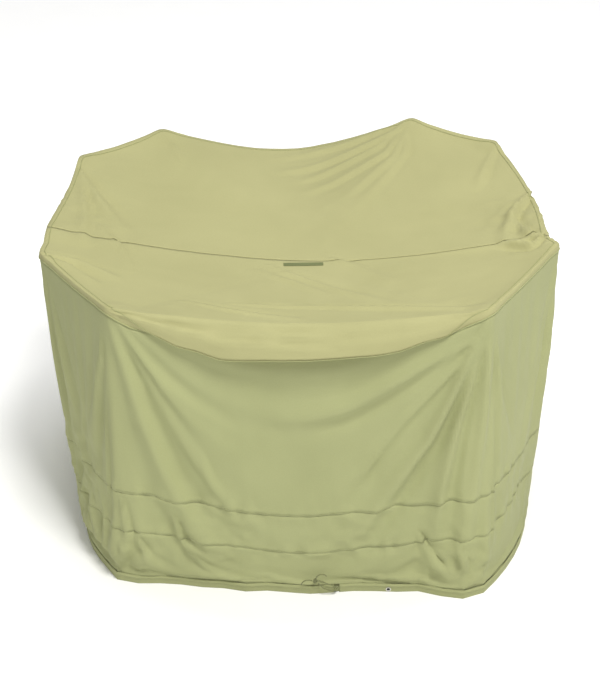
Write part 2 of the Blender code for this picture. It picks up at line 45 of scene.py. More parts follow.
CORNERS = [
    ((0.7300, -0.1882), (0.7490, -0.1432), 10, 0.014, 0.034, 0.014),
    ((0.6830, 0.4688), (0.7030, 0.4568), 5, 0.010, 0.004, 0.012),
    ((0.4230, 0.6788), (0.4470, 0.6728), 13, 0.075, -0.025, 0.010),
    ((-0.4400, 0.6328), (-0.4550, 0.6448), 5, 0.010, 0.004, 0.012),
    ((-0.6970, 0.4258), (-0.7110, 0.4168), 7, 0.012, -0.002, 0.006),
    ((-0.7520, -0.0612), (-0.7360, -0.0532), 2, 0.004, 0.000, 0.000),
    ((-0.7530, -0.2392), (-0.7030, -0.2232), 6, 0.006, 0.000, 0.028),
    ((-0.5340, -0.5722), (-0.5800, -0.5402), 17, 0.040, 0.000, 0.000),
    ((0.5020, -0.6312), (0.5350, -0.6552), 7, 0.006, 0.000, 0.040),
    ((0.7530, -0.2642), (0.7300, -0.2382), 2, 0.004, 0.000, 0.000),
]
FRONT_SPAN = 7
REAR_SPANS = 5
FRONT_HEM = [
    (0.00, -0.5402),
    (0.08, -0.5652),
    (0.28, -0.5912),
    (0.36, -0.6172),
    (0.55, -0.6312),
    (0.84, -0.6372),
    (0.90, -0.6732),
    (0.94, -0.6812),
    (1.00, -0.6552),
]
LIP_DROP = [
    (0.00, 0.014),
    (0.08, 0.056),
    (0.20, 0.100),
    (0.30, 0.128),
    (0.48, 0.122),
    (0.72, 0.112),
    (0.87, 0.074),
    (0.95, 0.040),
    (1.00, 0.014),
]
LIP_REACH = 0.060
LIP_TUCK = 0.80
LIP_RISE = 0.012
SEAM_DROP = 0.006
EDGE_DROP = 0.012
EDGE_REACH = 0.003
HEM_RIPPLE = 0.005
HEM_RIPPLES = 17
UPPER_SEAM = 0.358
LOWER_SEAM = 0.220
SEAM_DIP = 0.062
SAG_POWER = 1.8
CORD_RADIUS = 0.0020


# ---------------------------------------------------------------- the ring of columns


def along(table, share):
    for low, high in zip(table, table[1:]):
        if share <= high[0]:
            step = (share - low[0]) / (high[0] - low[0])
            step = step * step * (3 - 2 * step)
            return low[1] + (high[1] - low[1]) * step
    return table[-1][1]


def outward(run):
    """The horizontal direction out of the cover, square to a run along its wall."""
    side = np.array([run[1], -run[0], 0.0])
    return side / np.linalg.norm(side)


def mitre(hems, number):
    """The outward direction at a hem column, lengthened so that the faces beside it keep their distance."""
    first = outward(hems[number] - hems[number - 1])
    second = outward(hems[(number + 1) % len(hems)] - hems[number])
    middle = (first + second) / np.linalg.norm(first + second)
    return middle / (middle @ first)


def make_ring():
    """Rim, lip, lip edge, seam and hem points of each column, and its share of the front span."""
    rims, hems, spans, shares, arches = [], [], [], [], []
    for index, (rim, hem, count, sag, rim_bow, hem_bow) in enumerate(CORNERS):
        after = CORNERS[(index + 1) % len(CORNERS)]
        low = np.array([*rim, RIM_HEIGHT])
        high = np.array([*after[0], RIM_HEIGHT])
        foot_low = np.array([*hem, 0.0])
        foot_high = np.array([*after[1], 0.0])
        for step in range(count):
            share = step / count
            arch = math.sin(math.pi * share)
            point = low + (high - low) * share + outward(high - low) * (rim_bow * arch)
            point[2] -= sag * arch**1.3
            foot = foot_low + (foot_high - foot_low) * share
            foot = foot + outward(foot_high - foot_low) * (hem_bow * arch)
            if index == FRONT_SPAN:
                foot[1] = along(FRONT_HEM, share)
            rims.append(point)
            hems.append(foot)
            spans.append(index)
            shares.append(share)
            arches.append(arch if index == FRONT_SPAN else 0.0)
    count = len(rims)
    ring = {"rim": np.array(rims), "span": spans, "share": np.array(shares), "arch": np.array(arches)}
    foots = np.array(hems)
    moved = []
    rows = {"lip": [], "edge": [], "seam": [], "out": []}
    for number in range(count):
        turn = 2 * math.pi * number / count
        ripple = HEM_RIPPLE * math.sin(HEM_RIPPLES * turn + 0.8) * (0.6 + 0.4 * math.sin(3 * turn))
        foot_out = outward(foots[(number + 1) % count] - foots[number - 1])
        moved.append(foots[number] + foot_out * ripple)
        out = outward(rims[(number + 1) % count] - rims[number - 1])
        front = spans[number] == FRONT_SPAN
        arch = arches[number]
        drop = along(LIP_DROP, shares[number]) if front else EDGE_DROP
        reach = EDGE_REACH + LIP_REACH * arch**0.8
        rim = rims[number]
        fall = (RIM_HEIGHT if front else rim[2]) - drop - rim[2]
        edge = rim + out * reach + np.array([0, 0, fall])
        rows["lip"].append(rim + out * (reach * 0.85) + np.array([0, 0, fall * 0.45]))
        rows["edge"].append(edge)
        rise = LIP_RISE * arch - SEAM_DROP * (1 - arch)
        rows["seam"].append(edge - out * (LIP_TUCK * reach * arch) + np.array([0, 0, rise]))
        rows["out"].append(out)
    ring["hem"] = np.array(moved)
    ring["miter"] = np.array([mitre(ring["hem"], number) for number in range(count)])
    for name, row in rows.items():
        ring[name] = np.array(row)
    return ring


RING = make_ring()
HEM_RUNS = np.linalg.norm(np.roll(RING["hem"], -1, 0) - RING["hem"], axis=1)
CAD_COLUMNS = len(RING["rim"])
REAR_COLUMNS = sum(corner[2] for corner in CORNERS[:REAR_SPANS])
FRONT_START = sum(corner[2] for corner in CORNERS[:FRONT_SPAN])


def spline(a, b, c, d, t):
    """A smooth curve from b to c, with a before them and d after."""
    return (2 * b + (c - a) * t + (2 * a - 5 * b + 4 * c - d) * t**2 + (3 * b - a - 3 * c + d) * t**3) / 2


def distances(line):
    """How far along a line each of its points lies."""
    return np.r_[0, np.cumsum(np.linalg.norm(np.diff(line, axis=0), axis=1))]


def straight(name, place):
    """A ring value at a fractional column, on the straight line between columns."""
    low = int(math.floor(place)) % CAD_COLUMNS
    share = place - math.floor(place)
    values = RING[name]
    return values[low] * (1 - share) + values[(low + 1) % CAD_COLUMNS] * share


def curved(name, place):
    """A ring value at a fractional column, on a smooth curve through the columns."""
    low = int(math.floor(place)) % CAD_COLUMNS
    t = place - math.floor(place)
    values = RING[name]
    a, b, c, d = (values[(low + k) % CAD_COLUMNS] for k in (-1, 0, 1, 2))
    return spline(a, b, c, d, t) * 0.7 + (b * (1 - t) + c * t) * 0.3


# ---------------------------------------------------------------- camera and lights

PHOTO_CAMERA = (-0.123, -3.999, 2.9775)
PHOTO_PITCH = 32.0
PHOTO_YAW = 1.85
PHOTO_ROLL = -0.57
LENS = 74.95


def make_camera():
    pitch, yaw, roll = (math.radians(a) for a in (PHOTO_PITCH, PHOTO_YAW, PHOTO_ROLL))
    forward = Vector((math.sin(yaw) * math.cos(pitch), math.cos(yaw) * math.cos(pitch), -math.sin(pitch)))
    level = Vector((math.cos(yaw), -math.sin(yaw), 0.0))
    upward = level.cross(forward)
    right = level * math.cos(roll) + upward * math.sin(roll)
    up = upward * math.cos(roll) - level * math.sin(roll)
    data = bpy.data.cameras.new("camera")
    data.lens = LENS
    data.sensor_width = 36.0
    camera = bpy.data.objects.new("camera", data)
    bpy.context.scene.collection.objects.link(camera)
    turn = Matrix((right, up, -forward)).transposed().to_4x4()
    turn.translation = PHOTO_CAMERA
    camera.matrix_world = turn
    bpy.context.scene.camera = camera


def area_light(name, place, target, size, power, colour=(1.0, 1.0, 1.0)):
    data = bpy.data.lights.new(name, "AREA")
    data.shape = "DISK"
    data.size = size
    data.energy = power
    data.color = colour
    light = bpy.data.objects.new(name, data)
    light.location = place
    light.rotation_mode = "QUATERNION"
    light.rotation_quaternion = (Vector(target) - Vector(place)).to_track_quat("-Z", "Y")
    bpy.context.scene.collection.objects.link(light)


def make_world():
    world = bpy.data.worlds.new("studio")
    world.use_nodes = True
    background = world.node_tree.nodes["Background"]
    background.inputs["Color"].default_value = (1.0, 1.0, 1.0, 1.0)
    background.inputs["Strength"].default_value = 0.46
    bpy.context.scene.world = world


make_camera()
make_world()
bpy.context.scene.view_settings.view_transform = "Standard"
area_light("key", (1.36, -3.23, 6.55), (0.0, 0.0, 0.5), 1.9, 400, (1.0, 0.99, 0.97))
area_light("top", (0.3, 1.2, 4.5), (0.0, 0.0, 0.9), 2.6, 25)


# ---------------------------------------------------------------- materials


class Nodes:
    """Short calls for building one material's node tree."""

    def __init__(self, name):
        self.material = bpy.data.materials.new(name)
        self.material.use_nodes = True
        self.tree = self.material.node_tree
        self.shader = self.tree.nodes["Principled BSDF"]

    def node(self, kind, inputs=None, **settings):
        made = self.tree.nodes.new(kind)
        for key, value in settings.items():
            setattr(made, key, value)
        for key, value in (inputs or {}).items():
            if isinstance(value, bpy.types.NodeSocket):
                self.tree.links.new(value, made.inputs[key])
            else:
                made.inputs[key].default_value = value
        return made

    def math(self, operation, a, b=0.0):
        return self.node("ShaderNodeMath", {0: a, 1: b}, operation=operation).outputs[0]

    def ramp(self, value, stops):
        made = self.node("ShaderNodeValToRGB", {"Fac": value})
        elements = made.color_ramp.elements
        while len(elements) < len(stops):
            elements.new(0.5)
        for element, (place, colour) in zip(elements, stops):
            element.position = place
            element.color = (*colour, 1.0)
        return made.outputs["Color"]

    def link(self, value, key):
        self.tree.links.new(value, self.shader.inputs[key])


def cloth_material(name, light, dark, weave=0.0011, sheen=0.05, roughness=0.85):
    """Coated plain-weave polyester: crossed threads, faint cloudiness and a soft sheen."""
    make = Nodes(name)
    place = make.node("ShaderNodeTexCoord").outputs["UV"]
    split = make.node("ShaderNodeSeparateXYZ", {0: place})
    turns = 2 * math.pi / weave
    across = make.math("SINE", make.math("MULTIPLY", split.outputs[0], turns))
    down = make.math("SINE", make.math("MULTIPLY", split.outputs[1], turns))
    threads = make.math("MULTIPLY", across, down)
    cloud = make.node("ShaderNodeTexNoise", {"Vector": place, "Scale": 3.0, "Detail": 3.0, "Roughness": 0.6})
    fleck = make.node("ShaderNodeTexNoise", {"Vector": place, "Scale": 240.0, "Detail": 2.0})
    slub = make.node(
        "ShaderNodeTexNoise",
        {"Vector": make.node("ShaderNodeMapping", {"Vector": place, "Scale": (18.0, 900.0, 1.0)}).outputs[0]},
    )
    mixed = make.math("MULTIPLY", cloud.outputs[0], 0.5)
    mixed = make.math("ADD", mixed, make.math("MULTIPLY", fleck.outputs[0], 0.28))
    mixed = make.math("ADD", mixed, make.math("MULTIPLY", slub.outputs[0], 0.16))
    mixed = make.math("ADD", mixed, make.math("MULTIPLY", threads, 0.03))
    make.link(make.ramp(mixed, [(0.32, dark), (0.62, light)]), "Base Color")
    height = make.math("ADD", threads, make.math("MULTIPLY", fleck.outputs[0], 0.8))
    bump = make.node("ShaderNodeBump", {"Height": height, "Strength": 0.12, "Distance": 0.0004})
    make.link(bump.outputs[0], "Normal")
    make.shader.inputs["Roughness"].default_value = roughness
    make.shader.inputs["Sheen Weight"].default_value = sheen
    make.shader.inputs["Sheen Roughness"].default_value = 0.45
    make.shader.inputs["Specular IOR Level"].default_value = 0.20
    return make.material


def grained(name, scale, detail, stops, roughness):
    """A material whose colour varies with a fine grain, and the coordinates and grain it is made from."""
    make = Nodes(name)
    place = make.node("ShaderNodeTexCoord").outputs["Object"]
    grain = make.node("ShaderNodeTexNoise", {"Vector": place, "Scale": scale, "Detail": detail}).outputs[0]
    make.link(make.ramp(grain, stops), "Base Color")
    make.shader.inputs["Roughness"].default_value = roughness
    return make, place, grain


def thread_material():
    make, _, _ = grained("thread", 900.0, 2.0, [(0.3, (0.27, 0.28, 0.12)), (0.7, (0.34, 0.35, 0.15))], 0.55)
    return make.material


def cord_material():
    """Braided cord: dull, a little fuzzy, and painted darker than the cloth as painted shade of its own
    shadows.
    """
    make, _, grain = grained("cord", 700.0, 3.0, [(0.3, (0.13, 0.14, 0.055)), (0.7, (0.22, 0.23, 0.09))], 0.8)
    bump = make.node("ShaderNodeBump", {"Height": grain, "Strength": 0.3, "Distance": 0.0003})
    make.link(bump.outputs[0], "Normal")
    make.shader.inputs["Sheen Weight"].default_value = 0.25
    return make.material


def metal_material():
    """Nickel-plated brass: bright, with a little tarnish."""
    colours = [(0.35, (0.56, 0.55, 0.50)), (0.6, (0.74, 0.73, 0.69))]
    make, _, tarnish = grained("eyelet_metal", 260.0, 3.0, colours, 0.3)
    make.link(make.ramp(tarnish, [(0.3, (0.38, 0.38, 0.38)), (0.7, (0.22, 0.22, 0.22))]), "Roughness")
    make.shader.inputs["Metallic"].default_value = 1.0
    return make.material


def floor_material():
    """White paper that glows as painted light, more the farther it runs out from under the cover."""
    make, place, _ = grained("floor", 6.0, 4.0, [(0.3, (0.94, 0.94, 0.93)), (0.7, (0.96, 0.96, 0.95))], 0.9)
    far = make.node("ShaderNodeVectorMath", {0: place}, operation="LENGTH").outputs["Value"]
    # Painted light: emission rising from 0 at 0.75 m out from the middle to 0.34 at 1.2 m
    glow = make.node("ShaderNodeMapRange", {"Value": far, "From Min": 0.75, "From Max": 1.2, "To Max": 0.34})
    make.link(glow.outputs[0], "Emission Strength")
    make.shader.inputs["Emission Color"].default_value = (1.0, 1.0, 1.0, 1.0)
    return make.material


# The material of each slot. Cloths: light and dark colour, weave pitch, sheen and roughness
LOOKS = {
    # top_cloth and skirt_cloth are one fabric: the top's lighter, yellower colour is painted light from
    # above, and the skirt's greener, darker colour is painted shade
    "top_cloth": cloth_material("top_cloth", (0.425, 0.412, 0.203), (0.372, 0.361, 0.174)),
    "skirt_cloth": cloth_material("skirt_cloth", (0.384, 0.400, 0.198), (0.336, 0.351, 0.169)),
    "seam_tape": cloth_material("tape", (0.30, 0.31, 0.14), (0.25, 0.26, 0.11), 0.0008, 0.05, 0.5),
    "label": cloth_material("label", (0.17, 0.19, 0.08), (0.13, 0.15, 0.06), 0.0006, 0.05, 0.7),
    "eyelet_metal": metal_material(),
    "cord": cord_material(),
}
THREAD = thread_material()


def make_floor():
    mesh = bpy.data.meshes.new("floor")
    build = bmesh.new()
    bmesh.ops.create_grid(build, x_segments=1, y_segments=1, size=12.0)
    build.to_mesh(mesh)
    build.free()
    floor = bpy.data.objects.new("floor", mesh)
    mesh.materials.append(floor_material())
    bpy.context.scene.collection.objects.link(floor)


make_floor()


# ---------------------------------------------------------------- the cloth, as one surface

HALF = 128
AROUND = 4 * HALF
LIP_ROWS = 11
UNDER_ROWS = 3
UPPER_ROWS = 48
MIDDLE_ROWS = 13
LOWER_ROWS = 17
BAND_FOOT = 0.0292
THREAD_STEP = 0.0105
SEAM_ROW = LIP_ROWS + UNDER_ROWS
UPPER_ROW = SEAM_ROW + UPPER_ROWS
MIDDLE_ROW = UPPER_ROW + MIDDLE_ROWS
LOWER_ROW = MIDDLE_ROW + LOWER_ROWS
BAND_SEAMS = (("upper", UPPER_ROW), ("lower", MIDDLE_ROW))

# Folds and creases: the points down each crest, its height and its half-width, in metres.
# Those of the front skirt are (x, z)
FRONT_FOLDS = [
    ([(-0.525, 0.93), (-0.47, 0.64), (-0.41, 0.41), (-0.32, 0.22), (-0.27, 0.15)], 0.016, 0.046),
    ([(-0.52, 0.94), (-0.39, 0.75), (-0.30, 0.66), (-0.18, 0.57)], 0.009, 0.036),
    ([(-0.30, 0.52), (-0.28, 0.42), (-0.24, 0.33)], 0.006, 0.020),
    ([(-0.51, 0.21), (-0.47, 0.10), (-0.40, 0.04)], 0.010, 0.020),
    ([(0.50, 0.95), (0.40, 0.69), (0.35, 0.57), (0.23, 0.37), (0.13, 0.18)], 0.026, 0.032),
    ([(0.50, 0.92), (0.43, 0.64), (0.39, 0.39), (0.38, 0.22)], 0.022, 0.026),
    ([(0.48, 0.89), (0.27, 0.63), (0.11, 0.37)], 0.009, 0.022),
    ([(0.47, 0.90), (0.31, 0.81), (0.12, 0.68), (-0.04, 0.63)], 0.018, 0.034),
    ([(0.21, 0.53), (0.16, 0.42)], 0.006, 0.018),
    ([(0.505, 0.93), (0.512, 0.69), (0.48, 0.30), (0.455, 0.12)], 0.012, 0.026),
    ([(-0.545, 0.34), (-0.53, 0.20), (-0.56, 0.08)], 0.013, 0.017),
    ([(-0.39, 0.29), (-0.37, 0.19), (-0.29, 0.12)], 0.011, 0.018),
    ([(-0.36, 0.17), (-0.30, 0.09), (-0.24, 0.05)], 0.007, 0.015),
    ([(0.33, 0.24), (0.37, 0.14), (0.44, 0.05)], 0.013, 0.018),
    ([(0.45, 0.20), (0.47, 0.12), (0.44, 0.05)], 0.011, 0.016),
]
# Creases of the top, as (x, y)
TOP_CREASES = [
    ([(0.39, 0.65), (0.32, 0.60), (0.06, 0.48), (-0.04, 0.46)], 0.0080, 0.018),
    ([(0.38, 0.64), (0.30, 0.55), (0.09, 0.42), (0.02, 0.39)], 0.0072, 0.016),
    ([(0.38, 0.63), (0.32, 0.50), (0.12, 0.35), (0.05, 0.32)], 0.0072, 0.018),
    ([(0.39, 0.61), (0.34, 0.47), (0.17, 0.26)], 0.0064, 0.017),
    ([(0.40, 0.62), (0.38, 0.49), (0.21, 0.20)], 0.0056, 0.018),
    ([(0.36, 0.66), (0.20, 0.61), (-0.04, 0.56)], 0.0072, 0.018),
    ([(-0.69, 0.35), (-0.65, 0.25), (-0.53, 0.00)], 0.0128, 0.022),
    ([(-0.69, 0.34), (-0.65, 0.08), (-0.64, -0.12)], 0.0104, 0.020),
    ([(-0.44, 0.62), (-0.39, 0.54), (-0.36, 0.46)], 0.0056, 0.015),
    ([(-0.60, 0.01), (-0.52, -0.13), (-0.49, -0.26)], 0.0072, 0.015),
    ([(0.68, 0.45), (0.63, 0.33), (0.59, 0.22)], 0.0080, 0.017),
    ([(0.74, 0.12), (0.67, 0.01), (0.62, -0.15)], 0.0176, 0.020),
    ([(0.73, -0.20), (0.68, -0.24), (0.61, -0.18)], 0.0176, 0.017),
    ([(0.66, 0.00), (0.68, -0.15), (0.72, -0.23)], 0.0144, 0.017),
    ([(0.07, -0.10), (0.17, -0.17), (0.26, -0.30)], 0.0056, 0.018),
    ([(-0.12, -0.19), (-0.02, -0.27), (0.08, -0.37)], 0.0056, 0.020),
    ([(-0.09, -0.15), (0.11, -0.34), (0.25, -0.47)], 0.0056, 0.020),
    ([(-0.34, -0.44), (-0.20, -0.50), (-0.01, -0.56)], 0.0072, 0.015),
    ([(-0.20, -0.44), (0.08, -0.47), (0.32, -0.54), (0.49, -0.59)], 0.0096, 0.017),
    ([(-0.74, -0.26), (-0.66, -0.30), (-0.58, -0.38)], 0.0112, 0.017),
    ([(-0.75, -0.24), (-0.64, -0.25), (-0.53, -0.32)], 0.0096, 0.017),
]
# Creases of the drooping lip, as (x, z)
LIP_CREASES = [
    ([(-0.50, 0.970), (-0.34, 0.962), (-0.15, 0.945), (0.07, 0.945), (0.42, 0.970)], 0.0061, 0.009),
    ([(-0.45, 0.960), (-0.30, 0.930), (-0.12, 0.925), (0.10, 0.915)], 0.0054, 0.009),
    ([(-0.18, 0.900), (-0.04, 0.920), (0.07, 0.930), (0.39, 0.965)], 0.0074, 0.010),
    ([(-0.52, 0.975), (-0.39, 0.950), (-0.23, 0.910), (0.07, 0.890)], 0.0061, 0.009),
]
# Where the cloth is crumpled: middle, reach, depth and how far the creases are drawn out upright
CRUMPLES = [
    ((0.70, 0.02, 0.96), 0.12, 0.0095, 1.0),
    ((0.70, -0.20, 0.96), 0.08, 0.0100, 1.0),
    ((-0.67, 0.08, 0.96), 0.13, 0.0060, 1.0),
    ((-0.66, -0.40, 0.14), 0.17, 0.0240, 2.6),
    ((-0.55, -0.56, 0.10), 0.12, 0.0140, 1.8),
    ((-0.67, -0.38, 0.36), 0.13, 0.0140, 2.2),
    ((0.42, -0.67, 0.10), 0.13, 0.0170, 1.6),
    ((0.64, -0.48, 0.28), 0.14, 0.0085, 1.6),
    ((-0.27, -0.61, 0.22), 0.14, 0.0070, 1.2),
    ((0.12, -0.64, 0.20), 0.14, 0.0050, 1.0),
    ((-0.60, 0.56, 0.20), 0.15, 0.0080, 2.0),
    ((0.60, 0.57, 0.16), 0.15, 0.0080, 2.0),
]
CRUMPLE_GRAIN = 0.055
CORD_PLACE = (0.03, 0.06)
CORD_STRETCH = (1.4, 1.0)
CORD_CLEAR = 0.10
CALM_REACH = 0.12
WAVES = 9
WAVE_HEIGHT = 0.0013
WRINKLE_GRAIN = 0.11
WRINKLE_HEIGHT = 0.0030
WRINKLE_PATCHES = 4.0
# How firmly the simulation holds each part to its place, and the height below which the skirt is fixed
TOP_HOLD = 0.05
LIP_HOLD = 0.10
UNDER_HOLD = 0.15
SKIRT_HOLD = 0.06
TAUT_HOLD = 0.6
FIXED_BELOW = 0.045


def steps_of(half):
    """The fine columns of a half of the cover, from one side seam to the other."""
    return np.arange(2 * HALF + 1) + (0 if half == "rear" else 2 * HALF)


def ring_place(step):
    """The CAD column that a fine column lies on. Each half of the cover has the same number of fine ones."""
    step = step % AROUND
    if step <= 2 * HALF:
        return REAR_COLUMNS * step / (2 * HALF)
    return REAR_COLUMNS + (CAD_COLUMNS - REAR_COLUMNS) * (step - 2 * HALF) / (2 * HALF)


def square_step(x, y):
    """The fine column in whose direction a point of the square lies."""
    reach = max(abs(x), abs(y))
    if x >= abs(y):
        return (y / reach * HALF / 2) % AROUND
    if y >= abs(x):
        return HALF / 2 + (1 - x / reach) * HALF / 2
    if -x >= abs(y):
        return 3 * HALF / 2 + (1 - y / reach) * HALF / 2
    return 5 * HALF / 2 + (1 + x / reach) * HALF / 2


def top_surface(x, y):
    share = max(abs(x), abs(y))
    if share == 0:
        return CENTRE.copy()
    rim = curved("rim", ring_place(square_step(x, y)))
    point = CENTRE + (rim - CENTRE) * share
    point[2] = CENTRE[2] + (rim[2] - CENTRE[2]) * share**SAG_POWER
    return point


def off_cord(flat):
    """0 where the cord lies and 1 away from it, for points as (x, z): the cloth under the cord is flat."""
    far = np.linalg.norm((flat - np.array(CORD_PLACE)) / CORD_STRETCH, axis=1)
    return 1 - np.exp(-((far / CORD_CLEAR) ** 4))


def crease_push(places, creases):
    """How far creases lift each of the places, which are 2D points in the creases' own plane."""
    push = np.zeros(len(places))
    for crest, tall, wide in creases:
        crest = np.array(crest)
        best = np.full(len(places), 1e9)
        share_down = np.zeros(len(places))
        side = np.zeros(len(places))
        pieces = len(crest) - 1
        for number, (low, high) in enumerate(zip(crest, crest[1:])):
            run = high - low
            share = np.clip(((places - low) @ run) / (run @ run), 0, 1)
            gap = places - (low + share[:, None] * run)
            far = np.hypot(gap[:, 0], gap[:, 1])
            nearer = far < best
            best = np.where(nearer, far, best)
            share_down = np.where(nearer, (number + share) / pieces, share_down)
            side = np.where(nearer, np.sign(run[0] * gap[:, 1] - run[1] * gap[:, 0]), side)
        width = wide * (0.30 + 0.70 * share_down)
        rise = np.sin(np.pi * np.clip(0.10 + 0.86 * share_down, 0, 1)) ** 0.7
        lean = np.where(side > 0, 0.65, 1.35)
        push += tall * rise * np.exp(-((best / (width * lean)) ** 2))
        valley = np.where(side > 0, 0.55, 0.15)
        push -= valley * tall * rise * np.exp(-(((best - 1.7 * width) / (0.8 * width)) ** 2))
    return push


def side_folds(lengths):
    """Folds that fall from the support corners at the sides and rear, as (distance round the hem, z)."""
    rng = np.random.default_rng(3)
    folds = []
    starts = np.cumsum([0] + [corner[2] for corner in CORNERS])
    for span, (first, last) in enumerate(zip(starts, starts[1:])):
        if span == FRONT_SPAN or last - first < 5:
            continue
        low, high = lengths[first], lengths[last]
        for corner, way in ((low, 1), (high, -1)):
            for order in range(3 if high - low > 0.5 else 2):
                reach = (0.05 + 0.12 * order) * rng.uniform(0.8, 1.2)
                foot = rng.uniform(0.12, 0.28) + 0.16 * order
                crest = [(0.012, 0.93), (reach * 0.45, 0.66), (reach, foot)]
                crest = [(corner + way * far, up) for far, up in crest]
                folds.append((crest, rng.uniform(0.008, 0.016), rng.uniform(0.024, 0.034)))
    return folds


def make_surface():
    """Points, faces, a panel name for each face, and how firmly each point is held."""
    rng = np.random.default_rng(7)
    points, faces, panels, hold, weaves = [], [], [], [], []
    grid = np.zeros((HALF + 1, HALF + 1), int)
    for j in range(HALF + 1):
        for i in range(HALF + 1):
            x, y = 2 * i / HALF - 1, 2 * j / HALF - 1
            grid[j, i] = len(points)
            points.append(top_surface(x, y))
            hold.append(TOP_HOLD)
    for j in range(HALF):
        for i in range(HALF):
            faces.append((grid[j, i], grid[j, i + 1], grid[j + 1, i + 1], grid[j + 1, i]))
            panels.append("top_rear" if j >= HALF // 2 else "top_front")
            left, low = i * THREAD_STEP, j * THREAD_STEP
            right, high = left + THREAD_STEP, low + THREAD_STEP
            weaves.append(((left, low), (right, low), (right, high), (left, high)))
    border = []
    for step in range(AROUND):
        if step <= HALF // 2:
            i, j = HALF, HALF // 2 + step
        elif step <= 3 * HALF // 2:
            i, j = HALF - (step - HALF // 2), HALF
        elif step <= 5 * HALF // 2:
            i, j = 0, HALF - (step - 3 * HALF // 2)
        elif step <= 7 * HALF // 2:
            i, j = step - 5 * HALF // 2, 0
        else:
            i, j = HALF, step - 7 * HALF // 2
        border.append(grid[j, i])
    rows = [border]
    places = [ring_place(step) for step in range(AROUND)]
    rim = np.array([curved("rim", p) for p in places])
    lip = np.array([curved("lip", p) for p in places])
    edge = np.array([curved("edge", p) for p in places])
    seam = np.array([curved("seam", p) for p in places])
    hem = np.array([straight("hem", p) for p in places])
    out = np.array([curved("out", p) for p in places])
    arch = np.array([straight("arch", p) for p in places])

    def add_row(row, firm, panel):
        numbers = list(range(len(points), len(points) + AROUND))
        points.extend(row)
        hold.extend(firm if hasattr(firm, "__len__") else [firm] * AROUND)
        before = rows[-1]
        for step in range(AROUND):
            after = (step + 1) % AROUND
            faces.append((before[step], numbers[step], numbers[after], before[after]))
            panels.append(panel + ("_rear" if step < 2 * HALF else "_front"))
            left, high = step * THREAD_STEP, 3.0 - len(rows) * THREAD_STEP
            right, low = left + THREAD_STEP, high - THREAD_STEP
            weaves.append(((left, high), (left, low), (right, low), (right, high)))
        rows.append(numbers)

    for number in range(1, LIP_ROWS + 1):
        t = number / LIP_ROWS
        add_row(rim * (1 - t) ** 2 + 2 * lip * t * (1 - t) + edge * t**2, LIP_HOLD, "top")
    for number in range(1, UNDER_ROWS + 1):
        t = number / UNDER_ROWS
        add_row(edge * (1 - t) + seam * t, UNDER_HOLD, "top")
    upper = UPPER_SEAM - SEAM_DIP * arch**2
    lower = LOWER_SEAM - SEAM_DIP * arch**2
    heights = []
    for number in range(1, UPPER_ROWS + 1):
        heights.append((seam[:, 2] + (upper - seam[:, 2]) * number / UPPER_ROWS, "upper"))
    for number in range(1, MIDDLE_ROWS + 1):
        heights.append((upper + (lower - upper) * number / MIDDLE_ROWS, "middle"))
    for number in range(1, LOWER_ROWS + 1):
        heights.append((lower + (BAND_FOOT - lower) * number / LOWER_ROWS, "lower"))
    front = np.array([FRONT_START - 0.5 <= p <= FRONT_START + CORNERS[FRONT_SPAN][2] + 0.5 for p in places])
    waves = [(rng.uniform(5, 26), rng.uniform(0, 6.28), rng.uniform(-1.2, 1.2)) for _ in range(WAVES)]
    turn = np.arange(AROUND) / AROUND * 2 * np.pi
    lengths = np.r_[0, np.cumsum(HEM_RUNS)]
    walked = np.interp(places, np.arange(CAD_COLUMNS + 1), lengths)
    folds = side_folds(lengths)
    for height, panel in heights:
        share = (height / seam[:, 2])[:, None]
        row = hem + (seam - hem) * share
        push = np.zeros(AROUND)
        flat = row[:, [0, 2]]
        push[front] = crease_push(flat[front], FRONT_FOLDS)
        push[~front] = crease_push(np.stack([walked, row[:, 2]], 1)[~front], folds)
        push[front] *= off_cord(flat)[front]
        size = 0.5 if panel == "upper" else 1
        for many, start, skew in waves:
            push += WAVE_HEIGHT * np.sin(round(many) * turn + start + skew * height * 6) * size
        push *= np.clip((height - BAND_FOOT) / CALM_REACH, 0, 1)
        push *= np.clip((seam[:, 2] - height) / CALM_REACH, 0, 1)
        firm = SKIRT_HOLD + (1 - SKIRT_HOLD) * np.clip((FIXED_BELOW - height) / 0.02, 0, 1)
        add_row(row + out * push[:, None], firm, panel)
    return np.array(points), faces, panels, weaves, np.array(hold), rows, grid


POINTS, FACES, PANELS, WEAVES, HOLD, ROWS, GRID = make_surface()


def mesh_of(name, points, faces):
    mesh = bpy.data.meshes.new(name)
    mesh.from_pydata([tuple(p) for p in points], [], [tuple(f) for f in faces])
    mesh.update()
    return mesh


def add_piece(name, points, faces, slot, node=None, thickness=None, weave=None, material=None):
    """A visible piece, which may stand for a CAD node, have a thickness and carry a weave."""
    mesh = mesh_of(name, points, faces)
    piece = bpy.data.objects.new(name, mesh)
    mesh.materials.append(material or LOOKS[slot])
    if weave:
        layer = mesh.uv_layers.new(name="weave")
        layer.data.foreach_set("uv", np.array(weave, np.float32).ravel())
    for face in mesh.polygons:
        face.use_smooth = True
    bpy.context.scene.collection.objects.link(piece)
    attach(piece, "root")
    if thickness:
        thick = piece.modifiers.new("cloth", "SOLIDIFY")
        thick.thickness = thickness
        thick.offset = -1.0
    if node:
        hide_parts(node)
    return piece


# ---------------------------------------------------------------- the drape, by simulation

SUPPORTS = (1, 2, 3, 4, 6, 7, 8, 9)
TAUT_SPANS = (1, 3, 6, 8)
SETTLE_FRAMES = 14
SLACK = 0.004
MOST_MOVE = 0.009


